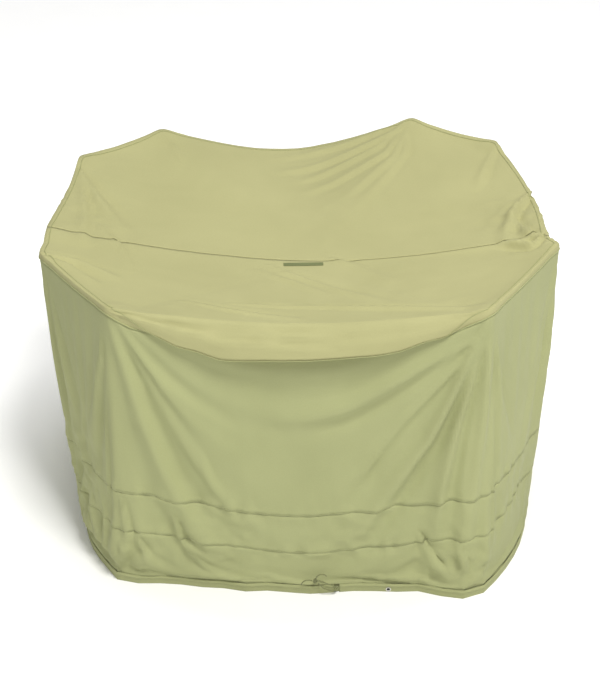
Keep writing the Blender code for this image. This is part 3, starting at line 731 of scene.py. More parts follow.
def held_weights():
    """The hem and support corners are fixed, taut edges are firm, and the rest only leans to its place."""
    hold = HOLD.copy()
    corners = [np.array([*CORNERS[n][0], RIM_HEIGHT]) for n in SUPPORTS]
    for row in ROWS[: SEAM_ROW + 1]:
        for step, number in enumerate(row):
            span = RING["span"][int(ring_place(step)) % CAD_COLUMNS]
            if span in TAUT_SPANS:
                hold[number] = max(hold[number], TAUT_HOLD)
    for corner in corners:
        near = np.linalg.norm(POINTS - corner, axis=1)
        hold = np.maximum(hold, np.clip(1.35 - near / 0.05, 0, 1))
    return hold


def settle():
    """Lets gravity draw the slack cloth down, and returns where its points end up."""
    work = bpy.data.objects.new("drape", mesh_of("drape", POINTS, FACES))
    bpy.context.scene.collection.objects.link(work)
    group = work.vertex_groups.new(name="held")
    for number, weight in enumerate(held_weights()):
        group.add([number], float(min(weight, 1.0)), "REPLACE")
    cloth = work.modifiers.new("cloth", "CLOTH")
    cloth.settings.quality = 5
    cloth.settings.mass = 0.12
    cloth.settings.air_damping = 2.0
    cloth.settings.tension_stiffness = 25.0
    cloth.settings.compression_stiffness = 25.0
    cloth.settings.shear_stiffness = 8.0
    cloth.settings.bending_stiffness = 1.2
    cloth.settings.shrink_min = -SLACK
    cloth.settings.shrink_max = -SLACK
    cloth.settings.vertex_group_mass = "held"
    cloth.settings.pin_stiffness = 1.0
    cloth.collision_settings.use_collision = False
    cloth.collision_settings.use_self_collision = False
    cloth.point_cache.frame_start = 1
    cloth.point_cache.frame_end = SETTLE_FRAMES
    scene = bpy.context.scene
    for number in range(1, SETTLE_FRAMES + 1):
        scene.frame_set(number)
    ready = work.evaluated_get(bpy.context.evaluated_depsgraph_get()).to_mesh()
    moved = np.empty(len(ready.vertices) * 3)
    ready.vertices.foreach_get("co", moved)
    bpy.data.objects.remove(work)
    scene.frame_set(1)
    shift = moved.reshape(-1, 3) - POINTS
    far = np.linalg.norm(shift, axis=1, keepdims=True)
    return POINTS + shift * np.minimum(1, MOST_MOVE / np.maximum(far, 1e-9))


DRAPED = settle()


def normals_of(points):
    """Outward directions of the cloth at its points."""
    mesh = mesh_of("normals", points, FACES)
    found = np.array([v.normal[:] for v in mesh.vertices])
    bpy.data.meshes.remove(mesh)
    return -found if found[GRID[HALF // 2, HALF // 2]][2] < 0 else found


def ridged(point, grain):
    """Creased noise from -1 to 1, with sharp crests."""
    broad = 1 - 2.4 * abs(noise.noise(point / grain))
    fine = 1 - 2.4 * abs(noise.noise(point / (grain * 0.45) + Vector((7, 3, 5))))
    return 0.7 * broad + 0.3 * fine


def crease_cloth():
    """Lifts the small creases and crumples out of the draped cloth."""
    normals = normals_of(DRAPED)
    top = GRID.ravel()
    lift = np.zeros(len(DRAPED))
    lift[top] = crease_push(POINTS[top][:, :2], TOP_CREASES)
    rim_lift = lift[ROWS[0]].copy()
    for number in range(1, SEAM_ROW + 1):
        row = np.array(ROWS[number])
        lift[row] += rim_lift * max(0.0, 1 - number / LIP_ROWS)
        lip = crease_push(POINTS[row][:, [0, 2]], LIP_CREASES)
        lift[row] += np.where(POINTS[row][:, 1] < -0.55, lip, 0) * min(1.0, number / 3)
    loose = np.clip((DRAPED[:, 2] - BAND_FOOT) / 0.08, 0, 1)
    for middle, reach, depth, drawn in CRUMPLES:
        far = np.linalg.norm(DRAPED - np.array(middle), axis=1)
        for number in np.nonzero(far < 2.2 * reach)[0]:
            point = Vector(DRAPED[number])
            point.z /= drawn
            fade = math.exp(-((far[number] / reach) ** 2))
            lift[number] += depth * fade * ridged(point, CRUMPLE_GRAIN) * loose[number]
    for number, place in enumerate(DRAPED):
        point = Vector(place)
        patch = max(0.0, noise.noise(point * WRINKLE_PATCHES) + 0.25)
        lift[number] += WRINKLE_HEIGHT * patch * ridged(point, WRINKLE_GRAIN) * loose[number]
    lift *= np.where(DRAPED[:, 1] < -0.5, off_cord(DRAPED[:, [0, 2]]), 1.0)
    return DRAPED + normals * lift[:, None]


DRAPED = crease_cloth()
NORMALS = normals_of(DRAPED)


# ---------------------------------------------------------------- seams and panels

CLOTH_THICKNESS = 0.0009
LAP_OUT = 0.0008
LAP_IN = 0.0008
LAP_REACH = 0.0040
PUCKER = 0.0021


def pucker_rows():
    """Small gathers either side of each band seam."""
    rng = np.random.default_rng(11)
    for _, seam_row in BAND_SEAMS:
        gather = rng.normal(size=AROUND)
        gather = np.convolve(np.r_[gather[-2:], gather, gather[:2]], [0.2, 0.6, 1.0, 0.6, 0.2], "same")[2:-2]
        for offset in range(-4, 5):
            row = ROWS[seam_row + offset]
            fade = math.exp(-((offset / 2.2) ** 2)) * (0.4 if offset == 0 else 1.0)
            for step, number in enumerate(row):
                DRAPED[number] += NORMALS[number] * (PUCKER * fade * gather[step])


def panel_rows(panel):
    """First and last row of a band of the skirt."""
    seams = (SEAM_ROW, UPPER_ROW, MIDDLE_ROW, LOWER_ROW)
    first = ("upper", "middle", "lower").index(panel)
    return seams[first], seams[first + 1]


def make_panel(node, half):
    """One sewn panel: its part of the draped surface, lapped over or under its neighbours."""
    panel = node.split("_")[0]
    chosen = [n for n, found in enumerate(PANELS) if found == f"{panel}_{half}"]
    used = sorted({v for n in chosen for v in FACES[n]})
    index = {v: k for k, v in enumerate(used)}
    points = DRAPED[used].copy()
    ends = (0, 2 * HALF)
    lap = LAP_OUT if half == "rear" else -LAP_IN
    if panel == "top":
        for number in GRID[HALF // 2]:
            points[index[number]] += NORMALS[number] * lap
            if half == "front":
                points[index[number]] += np.array([0, LAP_REACH, 0])
        for row in ROWS[1 : SEAM_ROW + 1]:
            for end in ends:
                points[index[row[end]]] += NORMALS[row[end]] * lap
    else:
        first, last = panel_rows(panel)
        for step, number in enumerate(ROWS[last]):
            if number in index and panel != "lower":
                points[index[number]] += NORMALS[number] * LAP_OUT
                upper = ROWS[last - 1][step]
                points[index[upper]] += NORMALS[upper] * (LAP_OUT * 0.4)
        for step, number in enumerate(ROWS[first]):
            if number in index and panel != "upper":
                rise = DRAPED[ROWS[first - 1][step]] - DRAPED[number]
                rise /= np.linalg.norm(rise)
                points[index[number]] += rise * LAP_REACH - NORMALS[number] * LAP_IN
        for row in ROWS[first : last + 1]:
            for end in ends:
                number = row[end]
                points[index[number]] += NORMALS[number] * lap * 0.7
                if half == "front":
                    beside = row[1] if end == 0 else row[end - 1]
                    run = DRAPED[beside] - DRAPED[number]
                    points[index[number]] += run / np.linalg.norm(run) * LAP_REACH
    faces = [[index[v] for v in FACES[n]] for n in chosen]
    weave = [uv for n in chosen for uv in WEAVES[n]]
    slot = "top_cloth" if panel == "top" else "skirt_cloth"
    return add_piece(f"{node}_{half}_cloth", points, faces, slot, f"{node}_{half}", CLOTH_THICKNESS, weave)


pucker_rows()
PANEL_PIECES = {}
for half in ("rear", "front"):
    for node in ("top_panel", "upper_wall", "middle_band", "lower_band"):
        PANEL_PIECES[node, half] = make_panel(node, half)

# ---------------------------------------------------------------- welts, tapes, label and stitches

WELT_RADIUS = 0.0019
EDGE_SEAM_RADIUS = 0.0013
EDGE_SEAM_RUN = 0.11
TAPE_DEPTH = 0.0028
TAPE_THICKNESS = 0.0006
STITCH_PITCH = 0.0050
STITCH_LENGTH = 0.0034
STITCH_RADIUS = 0.00038
STITCH_SETBACK = 0.0045
STITCH_SIDES = 5
STITCH_SHAPE = [(-0.5, 0.35), (-0.25, 1.0), (0.25, 1.0), (0.5, 0.35)]
LABEL_MIDDLE = (0.014, -0.150)
LABEL_SIZE = (0.120, 0.020)
LABEL_CORNER = 0.0025
LABEL_MARGIN = 0.0016
LABEL_LIFT = 0.0010
LABEL_THICKNESS = 0.0006
LABEL_FACES = (36, 8)


def ring_faces(rings, sides, closed=False):
    """Faces between neighbouring rings of points, with a cap on each end of a row that doesn't close."""
    faces = []
    for ring in range(rings if closed else rings - 1):
        low, high = ring * sides, (ring + 1) % rings * sides
        for k in range(sides):
            nxt = (k + 1) % sides
            faces.append((low + k, low + nxt, high + nxt, high + k))
    if not closed:
        faces.append(tuple(range(sides))[::-1])
        faces.append(tuple(range((rings - 1) * sides, rings * sides)))
    return faces


def face_outwards(mesh):
    """Turns every face of a closed mesh to face out."""
    build = bmesh.new()
    build.from_mesh(mesh)
    bmesh.ops.recalc_face_normals(build, faces=build.faces)
    build.to_mesh(mesh)
    build.free()


def tube_rings(line, radius, sides, closed=False, twist=None):
    """Rings of points round a line, without twist, and the faces between them."""
    line = np.asarray(line)
    count = len(line)
    if closed:
        runs = np.roll(line, -1, 0) - np.roll(line, 1, 0)
    else:
        runs = np.gradient(line, axis=0)
    runs /= np.linalg.norm(runs, axis=1, keepdims=True)
    side = np.cross(runs[0], [0.31, 0.42, 0.85])
    side /= np.linalg.norm(side)
    points = []
    for number in range(count):
        side = side - runs[number] * (side @ runs[number])
        side /= np.linalg.norm(side)
        other = np.cross(runs[number], side)
        for k in range(sides):
            turn = 2 * math.pi * k / sides
            reach = radius if twist is None else radius * twist(number, turn)
            points.append(line[number] + (side * math.cos(turn) + other * math.sin(turn)) * reach)
    return points, ring_faces(count, sides, closed)


def make_welt(half):
    numbers = [ROWS[SEAM_ROW][step % AROUND] for step in steps_of(half)]
    line = DRAPED[numbers] + NORMALS[numbers] * 0.0006
    node = f"top_welt_{half}"
    return add_piece(f"{node}_cloth", *tube_rings(line, WELT_RADIUS, 8), "skirt_cloth", node)


def make_edge_seam():
    """The top's edge seam as a tube in dark thread colour, partly the seam's thread and partly painted shade
    of the shadow line along it: just inside the rim at the sides and rear, and down over the front lip.
    """
    inside = []
    for step in range(AROUND):
        j, i = np.argwhere(GRID == ROWS[0][step])[0]
        inside.append(GRID[np.clip(j, 1, HALF - 1), np.clip(i, 1, HALF - 1)])
    rows = [inside, *ROWS[: LIP_ROWS + 1]]
    line = []
    for step in range(AROUND):
        share = (ring_place(step) - FRONT_START) / CORNERS[FRONT_SPAN][2]
        down = min(max(min(share, 1 - share) / EDGE_SEAM_RUN, 0.0), 1.0) * (len(rows) - 1)
        low = min(int(down), len(rows) - 2)
        first, second = rows[low][step], rows[low + 1][step]
        place = DRAPED[first] + (DRAPED[second] - DRAPED[first]) * (down - low)
        place = place + NORMALS[first] * (EDGE_SEAM_RADIUS * 0.3)
        if not line or np.linalg.norm(place - line[-1]) > EDGE_SEAM_RADIUS:
            line.append(place)
    tube = tube_rings(np.array(line), EDGE_SEAM_RADIUS, 8, closed=True)
    # The dark thread colour on this tube is partly painted shade of the seam's shadow line
    return add_piece("top_edge_seam", *tube, "top_cloth", material=THREAD)


def make_tape(node, lines):
    """A flat sealing tape on the inside of a seam, as the draped cloth carries it."""
    used = sorted({v for line in lines for v in line})
    index = {v: k for k, v in enumerate(used)}
    points = DRAPED[used] - NORMALS[used] * TAPE_DEPTH
    faces = [[index[v] for v in quad] for quad in strip_quads(lines)]
    return add_piece(f"{node}_cloth", points, faces, "seam_tape", node, TAPE_THICKNESS)


def strip_quads(lines):
    """Faces between neighbouring lines of point numbers."""
    quads = []
    for low, high in zip(lines, lines[1:]):
        for k in range(len(low) - 1):
            quads.append((low[k], high[k], high[k + 1], low[k + 1]))
    return quads


def make_tapes():
    pieces = {}
    for half in ("rear", "front"):
        for seam_name, seam_row in BAND_SEAMS:
            lines = [[ROWS[seam_row + k][step] for step in steps_of(half)[1:-1]] for k in (-1, 0, 1)]
            pieces[seam_name, half] = make_tape(f"{seam_name}_seam_tape_{half}", lines)
    for side, end in (("right", 0), ("left", 2 * HALF)):
        rows = ROWS[SEAM_ROW + 1 : UPPER_ROW - 2]
        lines = [[row[(end + k) % AROUND] for row in rows] for k in (1, 0, -1)]
        pieces["side", side] = make_tape(f"side_seam_tape_{side}", lines)
    lines = [[GRID[HALF // 2 + k, i] for i in range(2, HALF - 1)] for k in (1, 0, -1)]
    pieces["cross", ""] = make_tape("cross_seam_tape", lines)
    return pieces


def resampled(line, pitch):
    """Points at an even pitch along a line, with the share between the line's points where each falls."""
    line = np.asarray(line)
    lengths = distances(line)
    places = np.arange(pitch / 2, lengths[-1], pitch)
    found = np.searchsorted(lengths, places) - 1
    share = (places - lengths[found]) / (lengths[found + 1] - lengths[found])
    return line[found] + (line[found + 1] - line[found]) * share[:, None], found


def make_stitches(name, line, normals, slot):
    """A row of short raised threads along a line on the cloth."""
    centres, found = resampled(line, STITCH_PITCH)
    line = np.asarray(line)
    points, faces = [], []
    for centre, low in zip(centres, found):
        run = line[low + 1] - line[low]
        run /= np.linalg.norm(run)
        rise = normals[low]
        side = np.cross(run, rise)
        side /= np.linalg.norm(side)
        first = len(points)
        for along_run, size in STITCH_SHAPE:
            middle = centre + run * (along_run * STITCH_LENGTH) + rise * (STITCH_RADIUS * 0.7 * (size - 0.5))
            for k in range(STITCH_SIDES):
                turn = 2 * math.pi * k / STITCH_SIDES
                spoke = side * math.cos(turn) + rise * math.sin(turn)
                points.append(middle + spoke * (STITCH_RADIUS * size))
        last = len(points) - STITCH_SIDES
        for low_ring in range(first, last, STITCH_SIDES):
            high_ring = low_ring + STITCH_SIDES
            for k in range(STITCH_SIDES):
                nxt = (k + 1) % STITCH_SIDES
                faces.append((low_ring + k, high_ring + k, high_ring + nxt, low_ring + nxt))
        faces.append(tuple(range(first, first + STITCH_SIDES)))
        faces.append(tuple(range(last, last + STITCH_SIDES))[::-1])
    return add_piece(name, points, faces, slot, material=THREAD)


def seam_stitches():
    """A row of thread above each band seam, on the panel that laps over, in a piece for each half."""
    made = {}
    for seam_name, seam_row in BAND_SEAMS:
        for half in ("rear", "front"):
            line, normals = [], []
            for step in steps_of(half):
                low = ROWS[seam_row][step % AROUND]
                high = ROWS[seam_row - 1][step % AROUND]
                foot = DRAPED[low] + NORMALS[low] * LAP_OUT
                head = DRAPED[high] + NORMALS[high] * (LAP_OUT * 0.4)
                share = STITCH_SETBACK / np.linalg.norm(head - foot)
                line.append(foot + (head - foot) * share)
                normals.append(NORMALS[low])
            name = f"{seam_name}_seam_stitches_{half}"
            made[seam_name, half] = make_stitches(name, line, normals, "skirt_cloth")
    return made


def make_label():
    """A plain sewn label on the front half of the top, next to the cross seam."""
    tree = BVHTree.FromPolygons([tuple(p) for p in DRAPED], [tuple(f) for f in FACES])

    def on_cloth(x, y, lift):
        """The point over the draped top at a place measured from the label's middle."""
        x, y = x + LABEL_MIDDLE[0], y + LABEL_MIDDLE[1]
        return x, y, tree.ray_cast(Vector((x, y, 1.5)), Vector((0, 0, -1)))[0].z + lift

    across, deep = LABEL_FACES
    half_x, half_y = LABEL_SIZE[0] / 2, LABEL_SIZE[1] / 2
    inset_x, inset_y = half_x - LABEL_CORNER, half_y - LABEL_CORNER
    points, faces = [], []
    for j in range(deep + 1):
        for i in range(across + 1):
            x = LABEL_SIZE[0] * (i / across - 0.5)
            y = LABEL_SIZE[1] * (j / deep - 0.5)
            over = (max(abs(x) - inset_x, 0), max(abs(y) - inset_y, 0))
            far = math.hypot(*over)
            if far > LABEL_CORNER:
                x = math.copysign(inset_x + over[0] * LABEL_CORNER / far, x)
                y = math.copysign(inset_y + over[1] * LABEL_CORNER / far, y)
            points.append(on_cloth(x, y, LABEL_LIFT))
    for j in range(deep):
        for i in range(across):
            low = j * (across + 1) + i
            faces.append((low, low + 1, low + across + 2, low + across + 1))
    weave = [points[v][:2] for f in faces for v in f]
    piece = add_piece("label_patch", points, faces, "label", "label", LABEL_THICKNESS, weave)
    path = [(half_x * (2 * i / across - 1) * 0.97, LABEL_MARGIN - half_y) for i in range(across + 1)]
    path += [(half_x - LABEL_MARGIN, (half_y - LABEL_MARGIN) * (2 * j / deep - 1)) for j in range(deep + 1)]
    path += [(-x, -y) for x, y in path]
    line = [on_cloth(x, y, LABEL_LIFT + 0.0001) for x, y in path + path[:1]]
    upright = np.tile([0.0, 0.0, 1.0], (len(line), 1))
    return piece, make_stitches("label_stitches", line, upright, "label")


WELTS = {half: make_welt(half) for half in ("rear", "front")}
EDGE_SEAM = make_edge_seam()
TAPES = make_tapes()
STITCHES = seam_stitches()
LABEL, LABEL_STITCHES = make_label()


# ---------------------------------------------------------------- hem

HEM_LAYER = 0.0009
HEM_STEPS = 5
OPENING_SEGMENT = 10
OPENING_SHARE = 0.21
OPENING_WIDTH = 0.017
HEM_JOINT = 0.0004
HEM_SEGMENT = 0.066
HEM_STITCH_PLACE = (0.0026, 0.0301)
GATHER_WAVES = 8
GATHER_DEPTH = 0.0011
GATHER_FOOT = 0.0155
GATHER_CLEAR = 0.022
HEM_PATH = [
    (-0.0022, 0.0315),
    (-0.0022, 0.0260),
    (-0.0022, 0.0207),
    (-0.0010, 0.0187),
    (-0.0010, 0.0095),
    (-0.0010, 0.0016),
    (-0.0006, 0.0007),
    (0.0000, 0.00046),
    (0.0006, 0.0007),
    (0.0010, 0.0016),
    (0.0010, 0.0095),
    (0.0010, 0.0187),
    (0.0022, 0.0201),
    (0.0032, 0.0219),
    (0.0036, 0.0245),
    (0.0032, 0.0273),
    (0.0021, 0.0298),
    (0.0007, 0.0317),
]

FACING_PATH = [(0.0018, 0.0012), (0.0018, 0.0180), (0.0030, 0.0208), (0.0030, 0.0300)]
FACING_STEPS = 8

EYELETS = 4
EYELET_FROM_OPENING = 0.158
EYELET_PITCH = 1.148
EYELET_CLEAR = 0.0125
EYELET_HEIGHT = 0.0095
EYELET_HOLE = 0.0048
EYELET_BARREL = 0.0052
EYELET_FLANGE = 0.0083
EYELET_SIDES = 40
EYELET_FACE = 0.00155
EYELET_DOME = 0.0009
EYELET_BACK = -0.0028
WASHER_FACE = -0.00160
HEM_HOLE = 0.0055
METAL = 0.0005


def hem_walk(start, distance):
    """The (segment, share) that lies a distance along the hem from a starting (segment, share)."""
    segment, share = start
    left = distance + share * HEM_RUNS[segment % CAD_COLUMNS]
    while left > HEM_RUNS[segment % CAD_COLUMNS]:
        left -= HEM_RUNS[segment % CAD_COLUMNS]
        segment += 1
    length = HEM_RUNS[segment % CAD_COLUMNS]
    clear = EYELET_CLEAR / length
    return segment, min(max(left / length, clear), 1 - clear)


def eyelet_frames():
    hem = RING["hem"]
    start = (FRONT_START + OPENING_SEGMENT, OPENING_SHARE)
    frames = []
    for number in range(EYELETS):
        segment, share = hem_walk(start, EYELET_FROM_OPENING + EYELET_PITCH * number)
        low = hem[segment % CAD_COLUMNS]
        high = hem[(segment + 1) % CAD_COLUMNS]
        frames.append((low + (high - low) * share + np.array([0, 0, EYELET_HEIGHT]), outward(high - low)))
    return frames


EYELET_FRAMES = eyelet_frames()


def thick_outline(path, thickness):
    left, right = [], []
    path = np.array(path)
    for number, point in enumerate(path):
        first = point - path[number - 1] if number else path[1] - point
        second = path[number + 1] - point if number < len(path) - 1 else first
        first = first / np.linalg.norm(first)
        second = second / np.linalg.norm(second)
        run = (first + second) / np.linalg.norm(first + second)
        reach = thickness / 2 / max(run @ first, 0.5)
        side = np.array([-run[1], run[0]]) * reach
        left.append(point + side)
        right.append(point - side)
    return left + right[::-1]


def make_hem(side, start, stop):
    """Half of the folded hem, with small gathers above the eyelets and a hole at each eyelet."""
    rng = np.random.default_rng(5)
    waves = [(rng.uniform(3.0, 14.0), rng.uniform(0, 6.28)) for _ in range(GATHER_WAVES)]
    outline = np.array(thick_outline(HEM_PATH, HEM_LAYER))
    first = math.ceil(start * HEM_STEPS + 0.2) / HEM_STEPS
    places = [start, *np.arange(first, stop - 0.04, 1 / HEM_STEPS), stop]
    eyes = np.array([centre for centre, _ in EYELET_FRAMES])
    points = []
    for place in places:
        foot = straight("hem", place)
        out = straight("miter", place)
        near = np.linalg.norm(eyes[:, :2] - foot[:2], axis=1).min()
        calm = 1 - math.exp(-((near / GATHER_CLEAR) ** 2))
        wave = sum(math.sin(many * place + phase) for many, phase in waves) / GATHER_WAVES
        for outwards, up in outline:
            loose = min(max((up - GATHER_FOOT) / 0.010, 0.0), 1.0)
            move = GATHER_DEPTH * wave * calm * loose
            points.append(foot + out * (outwards + move) + np.array([0, 0, up]))
    sides = len(outline)
    faces, weave = [], []
    lengths = np.r_[0, np.cumsum([HEM_SEGMENT * (b - a) for a, b in zip(places, places[1:])])]
    around = np.r_[0, np.cumsum(np.linalg.norm(np.roll(outline, -1, 0) - outline, axis=1))]
    for number in range(len(places) - 1):
        for k in range(sides):
            nxt = (k + 1) % sides
            low, high = number * sides, (number + 1) * sides
            faces.append((low + k, high + k, high + nxt, low + nxt))
            u, v = lengths[number], lengths[number + 1]
            weave += [(u, around[k]), (v, around[k]), (v, around[k + 1]), (u, around[k + 1])]
    faces.append(tuple(range(sides)))
    faces.append(tuple((len(places) - 1) * sides + k for k in range(sides))[::-1])
    weave += [(0.0, 0.0)] * (2 * sides)
    piece = add_piece(f"hem_{side}_cloth", points, faces, "skirt_cloth", f"hem_{side}", weave=weave)
    face_outwards(piece.data)
    punch_holes(piece)
    return piece


def punch_holes(piece):
    """Cuts the eyelet holes through both layers and keeps the result."""
    pins = bpy.data.meshes.new("pins")
    build = bmesh.new()
    for centre, out in EYELET_FRAMES:
        turn = Vector(out).to_track_quat("Z", "Y").to_matrix().to_4x4()
        turn.translation = Vector(centre)
        bmesh.ops.create_cone(
            build, cap_ends=True, segments=24, radius1=HEM_HOLE, radius2=HEM_HOLE, depth=0.012, matrix=turn
        )
    build.to_mesh(pins)
    build.free()
    cutter = bpy.data.objects.new("pins", pins)
    bpy.context.scene.collection.objects.link(cutter)
    cut = piece.modifiers.new("holes", "BOOLEAN")
    cut.operation = "DIFFERENCE"
    cut.solver = "EXACT"
    cut.object = cutter
    graph = bpy.context.evaluated_depsgraph_get()
    punched = bpy.data.meshes.new_from_object(piece.evaluated_get(graph))
    piece.modifiers.remove(cut)
    piece.data = punched
    bpy.data.objects.remove(cutter)


def opening_place():
    """Where the hem's opening is, and half its width and half the rear joint's, in segments."""
    first = FRONT_START + OPENING_SEGMENT
    length = HEM_RUNS[first]
    return first + OPENING_SHARE, OPENING_WIDTH / 2 / length, HEM_JOINT / length


OPENING, HALF_OPENING, HALF_JOINT = opening_place()
REAR_JOINT = REAR_COLUMNS // 2 + 0.5
HEMS = {
    "right": make_hem("right", OPENING + HALF_OPENING, CAD_COLUMNS + REAR_JOINT - HALF_JOINT),
    "left": make_hem("left", REAR_JOINT + HALF_JOINT, OPENING - HALF_OPENING),
}


def make_facing():
    """The strip of cloth behind the hem's opening, where the cord comes out."""
    reach = 1.5 * HALF_OPENING
    points, faces = [], []
    for place in np.linspace(OPENING - reach, OPENING + reach, FACING_STEPS + 1):
        foot = straight("hem", place)
        out = straight("miter", place)
        for inside, up in FACING_PATH:
            points.append(foot - out * inside + np.array([0, 0, up]))
    rows = len(FACING_PATH)
    for number in range(FACING_STEPS):
        for k in range(rows - 1):
            low = number * rows + k
            faces.append((low, low + rows, low + rows + 1, low + 1))
    add_piece("hem_opening_facing", points, faces, "skirt_cloth", thickness=CLOTH_THICKNESS)


make_facing()


def hem_stitches(side, start, stop):
    """The row of thread that holds the hem's fold, near its top edge."""
    line, normals = [], []
    for place in np.arange(start + 0.05, stop - 0.05, 0.1):
        out = straight("miter", place)
        outwards, up = HEM_STITCH_PLACE
        line.append(straight("hem", place) + out * outwards + np.array([0, 0, up]))
        rise = out + np.array([0, 0, 0.6])
        normals.append(rise / np.linalg.norm(rise))
    return make_stitches(f"hem_stitches_{side}", line, normals, "skirt_cloth")


HEM_STITCHES = {
    "right": hem_stitches("right", OPENING + HALF_OPENING, CAD_COLUMNS + REAR_JOINT),
    "left": hem_stitches("left", REAR_JOINT, OPENING - HALF_OPENING),
}


# ---------------------------------------------------------------- eyelets


def turned_piece(name, profile, centre, out, node):
    """A closed profile turned about an eyelet's axis."""
    side = np.cross([0, 0, 1.0], out)
    points = []
    for step in range(EYELET_SIDES):
        turn = 2 * math.pi * step / EYELET_SIDES
        spoke = side * math.cos(turn) + np.array([0, 0, math.sin(turn)])
        points += [centre + out * a + spoke * r for a, r in profile]
    faces = ring_faces(EYELET_SIDES, len(profile), closed=True)
    face_outwards(add_piece(name, points, faces, "eyelet_metal", node).data)


def eyelet_shape():
    """Domed front flange, barrel, and the lip rolled over the washer, as (outward, radius)."""
    profile = []
    for step in range(9):
        turn = math.pi * step / 8
        middle = (EYELET_FLANGE + EYELET_HOLE) / 2
        half = (EYELET_FLANGE - EYELET_HOLE) / 2
        profile.append((EYELET_FACE + EYELET_DOME * math.sin(turn), middle + half * math.cos(turn)))
    back = EYELET_BACK
    under = EYELET_FACE - 0.0001
    profile += [(-0.0020, EYELET_HOLE), (back, EYELET_HOLE + 0.0001), (back - 0.0003, EYELET_HOLE + 0.0006)]
    profile += [(back - 0.0001, EYELET_BARREL + 0.0009), (back + 0.0003, EYELET_BARREL + 0.0010)]
    profile += [(back + 0.0004, EYELET_BARREL), (under, EYELET_BARREL), (under, EYELET_FLANGE)]
    return profile


def washer_shape():
    """Flat washer behind the hem, slightly dished, as (outward, radius)."""
    hole = EYELET_BARREL + 0.0002
    middle = (hole + EYELET_FLANGE) / 2
    face, back = WASHER_FACE, WASHER_FACE - METAL
    front = [(face, hole), (face - 0.0001, middle), (face, EYELET_FLANGE)]
    return [*front, (back, EYELET_FLANGE), (back - 0.0002, middle), (back, hole)]


for number, (centre, out) in enumerate(EYELET_FRAMES, start=1):
    turned_piece(f"eyelet_ring_{number:02d}", eyelet_shape(), centre, out, f"eyelet_{number:02d}")
    turned_piece(f"eyelet_back_{number:02d}", washer_shape(), centre, out, f"eyelet_washer_{number:02d}")


# ---------------------------------------------------------------- drawcord

KNOT = (-0.0660, 0.0130, 0.0620)
CORD_ROUTES = {
    "strand_left": [
        (-0.0080, 0.0008, 0.0245),
        (-0.0055, 0.0008, 0.0245),
        (-0.0002, 0.0050, 0.0268),
        (-0.0016, 0.0105, 0.0310),
        (-0.0100, 0.0125, 0.0360),
        (-0.0260, 0.0120, 0.0440),
        (-0.0450, 0.0120, 0.0560),
        (-0.0560, 0.0130, 0.0615),
    ],
    "strand_right": [
        (0.0080, 0.0008, 0.0245),
        (0.0058, 0.0008, 0.0245),
        (0.0022, 0.0042, 0.0213),
        (-0.0050, 0.0125, 0.0185),
        (-0.0220, 0.0150, 0.0220),
        (-0.0420, 0.0145, 0.0330),
        (-0.0570, 0.0140, 0.0520),
    ],
    "tail_left": [
        (-0.0758, 0.0130, 0.0630),
        (-0.0840, 0.0130, 0.0660),
        (-0.0950, 0.0130, 0.0660),
        (-0.1040, 0.0125, 0.0600),
        (-0.1090, 0.0120, 0.0500),
    ],
    "tail_right": [
        (-0.0640, 0.0130, 0.0718),
        (-0.0600, 0.0135, 0.0800),
        (-0.0510, 0.0140, 0.0860),
        (-0.0400, 0.0140, 0.0850),
        (-0.0320, 0.0135, 0.0770),
    ],
}
KNOT_TURN = 0.0047
KNOT_DEPTH = 0.0027
KNOT_CORD = 0.0018
BRAID_PITCH = 0.0064
BRAID_RELIEF = 0.07
BRAID_SIDES = 20
CORD_STEP = 0.0008


OPENING_FIRST = RING["hem"][FRONT_START + OPENING_SEGMENT]
OPENING_NEXT = RING["hem"][FRONT_START + OPENING_SEGMENT + 1]
OPENING_RIGHT = (OPENING_NEXT - OPENING_FIRST) / np.linalg.norm(OPENING_NEXT - OPENING_FIRST)
OPENING_MIDDLE = OPENING_FIRST + (OPENING_NEXT - OPENING_FIRST) * OPENING_SHARE
OPENING_OUT = outward(OPENING_RIGHT)


def from_opening(offset):
    return OPENING_MIDDLE + OPENING_RIGHT * offset[0] + OPENING_OUT * offset[1] + np.array([0, 0, offset[2]])


def smooth_route(points, pieces):
    points = [np.asarray(p, float) for p in points]
    ends = [points[0] * 2 - points[1], *points, points[-1] * 2 - points[-2]]
    route = []
    for a, b, c, d in zip(ends, ends[1:], ends[2:], ends[3:]):
        route += [spline(a, b, c, d, step / pieces) for step in range(pieces)]
    route.append(points[-1])
    return np.array(route)


def even_line(line, pitch):
    lengths = distances(line)
    places = np.linspace(0, lengths[-1], max(2, round(lengths[-1] / pitch)) + 1)
    return np.stack([np.interp(places, lengths, line[:, k]) for k in range(3)], 1), lengths[-1]


def braided(name, line, radius, node, closed=False):
    """A cord whose surface carries the crossing strands of its braid."""

    def strands(number, turn):
        along_cord = 2 * math.pi * number * CORD_STEP / BRAID_PITCH
        return 1.0 + BRAID_RELIEF * math.sin(4 * turn + along_cord * 2) * math.sin(4 * turn - along_cord * 2)

    return add_piece(name, *tube_rings(line, radius, BRAID_SIDES, closed, strands), "cord", node)


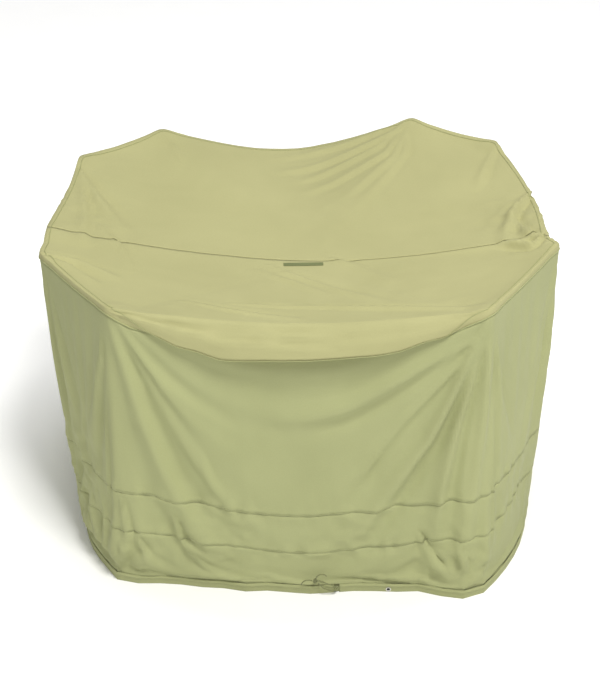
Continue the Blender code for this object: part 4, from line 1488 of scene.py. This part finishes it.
def make_cords():
    middle = from_opening(KNOT)
    turns = np.linspace(0, 2 * math.pi, 96, endpoint=False)
    reach = KNOT_TURN + KNOT_DEPTH * np.cos(3 * turns)
    line = middle + OPENING_RIGHT * (reach * np.cos(2 * turns))[:, None]
    line = line + np.array([0, 0, 1.0]) * (reach * np.sin(2 * turns))[:, None]
    line = line + OPENING_OUT * (KNOT_DEPTH * np.sin(3 * turns))[:, None]
    knot = braided("drawcord_knot_braid", line, KNOT_CORD, "drawcord_knot", closed=True)
    for name, offsets in CORD_ROUTES.items():
        route = smooth_route([from_opening(o) for o in offsets], 24)
        line, length = even_line(route, CORD_STEP)
        piece = braided(f"drawcord_{name}_braid", line, CORD_RADIUS, f"drawcord_{name}")
    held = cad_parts["drawcord"]
    held.data.materials.clear()
    held.data.materials.append(LOOKS["cord"])


make_cords()

# ---------------------------------------------------------------- the cloth's cut sizes


def walked_length(points):
    return float(np.linalg.norm(np.diff(points, axis=0), axis=1).sum())


def cut_size(panel, half):
    """Width, length and area that a panel was cut to, measured before the cloth sags and creases."""
    quads = POINTS[np.array([FACES[n] for n, found in enumerate(PANELS) if found == f"{panel}_{half}"])]
    across = quads[:, 2] - quads[:, 0]
    down = quads[:, 3] - quads[:, 1]
    area = float(np.linalg.norm(np.cross(across, down), axis=1).sum() / 2)
    steps = steps_of(half) % AROUND
    if panel == "top":
        ends = [POINTS[[row[end] for row in ROWS[: SEAM_ROW + 1]]] for end in (0, 2 * HALF)]
        lines = slice(HALF // 2, None) if half == "rear" else slice(None, HALF // 2 + 1)
        width = walked_length(POINTS[GRID[HALF // 2]]) + sum(walked_length(end) for end in ends)
        length = max(walked_length(POINTS[GRID[lines, i]]) for i in range(HALF + 1))
        length += walked_length(POINTS[[row[steps[HALF]] for row in ROWS[: SEAM_ROW + 1]]])
    else:
        first, last = panel_rows(panel)
        rows = np.array(ROWS[first : last + 1])
        width = max(walked_length(POINTS[row[steps]]) for row in rows)
        length = max(walked_length(POINTS[rows[:, step]]) for step in steps)
    return round(width, 3), round(length, 3), round(area, 3)


def declare_sheets():
    for (node, half), piece in PANEL_PIECES.items():
        width, length, area = cut_size(node.split("_")[0], half)


declare_sheets()
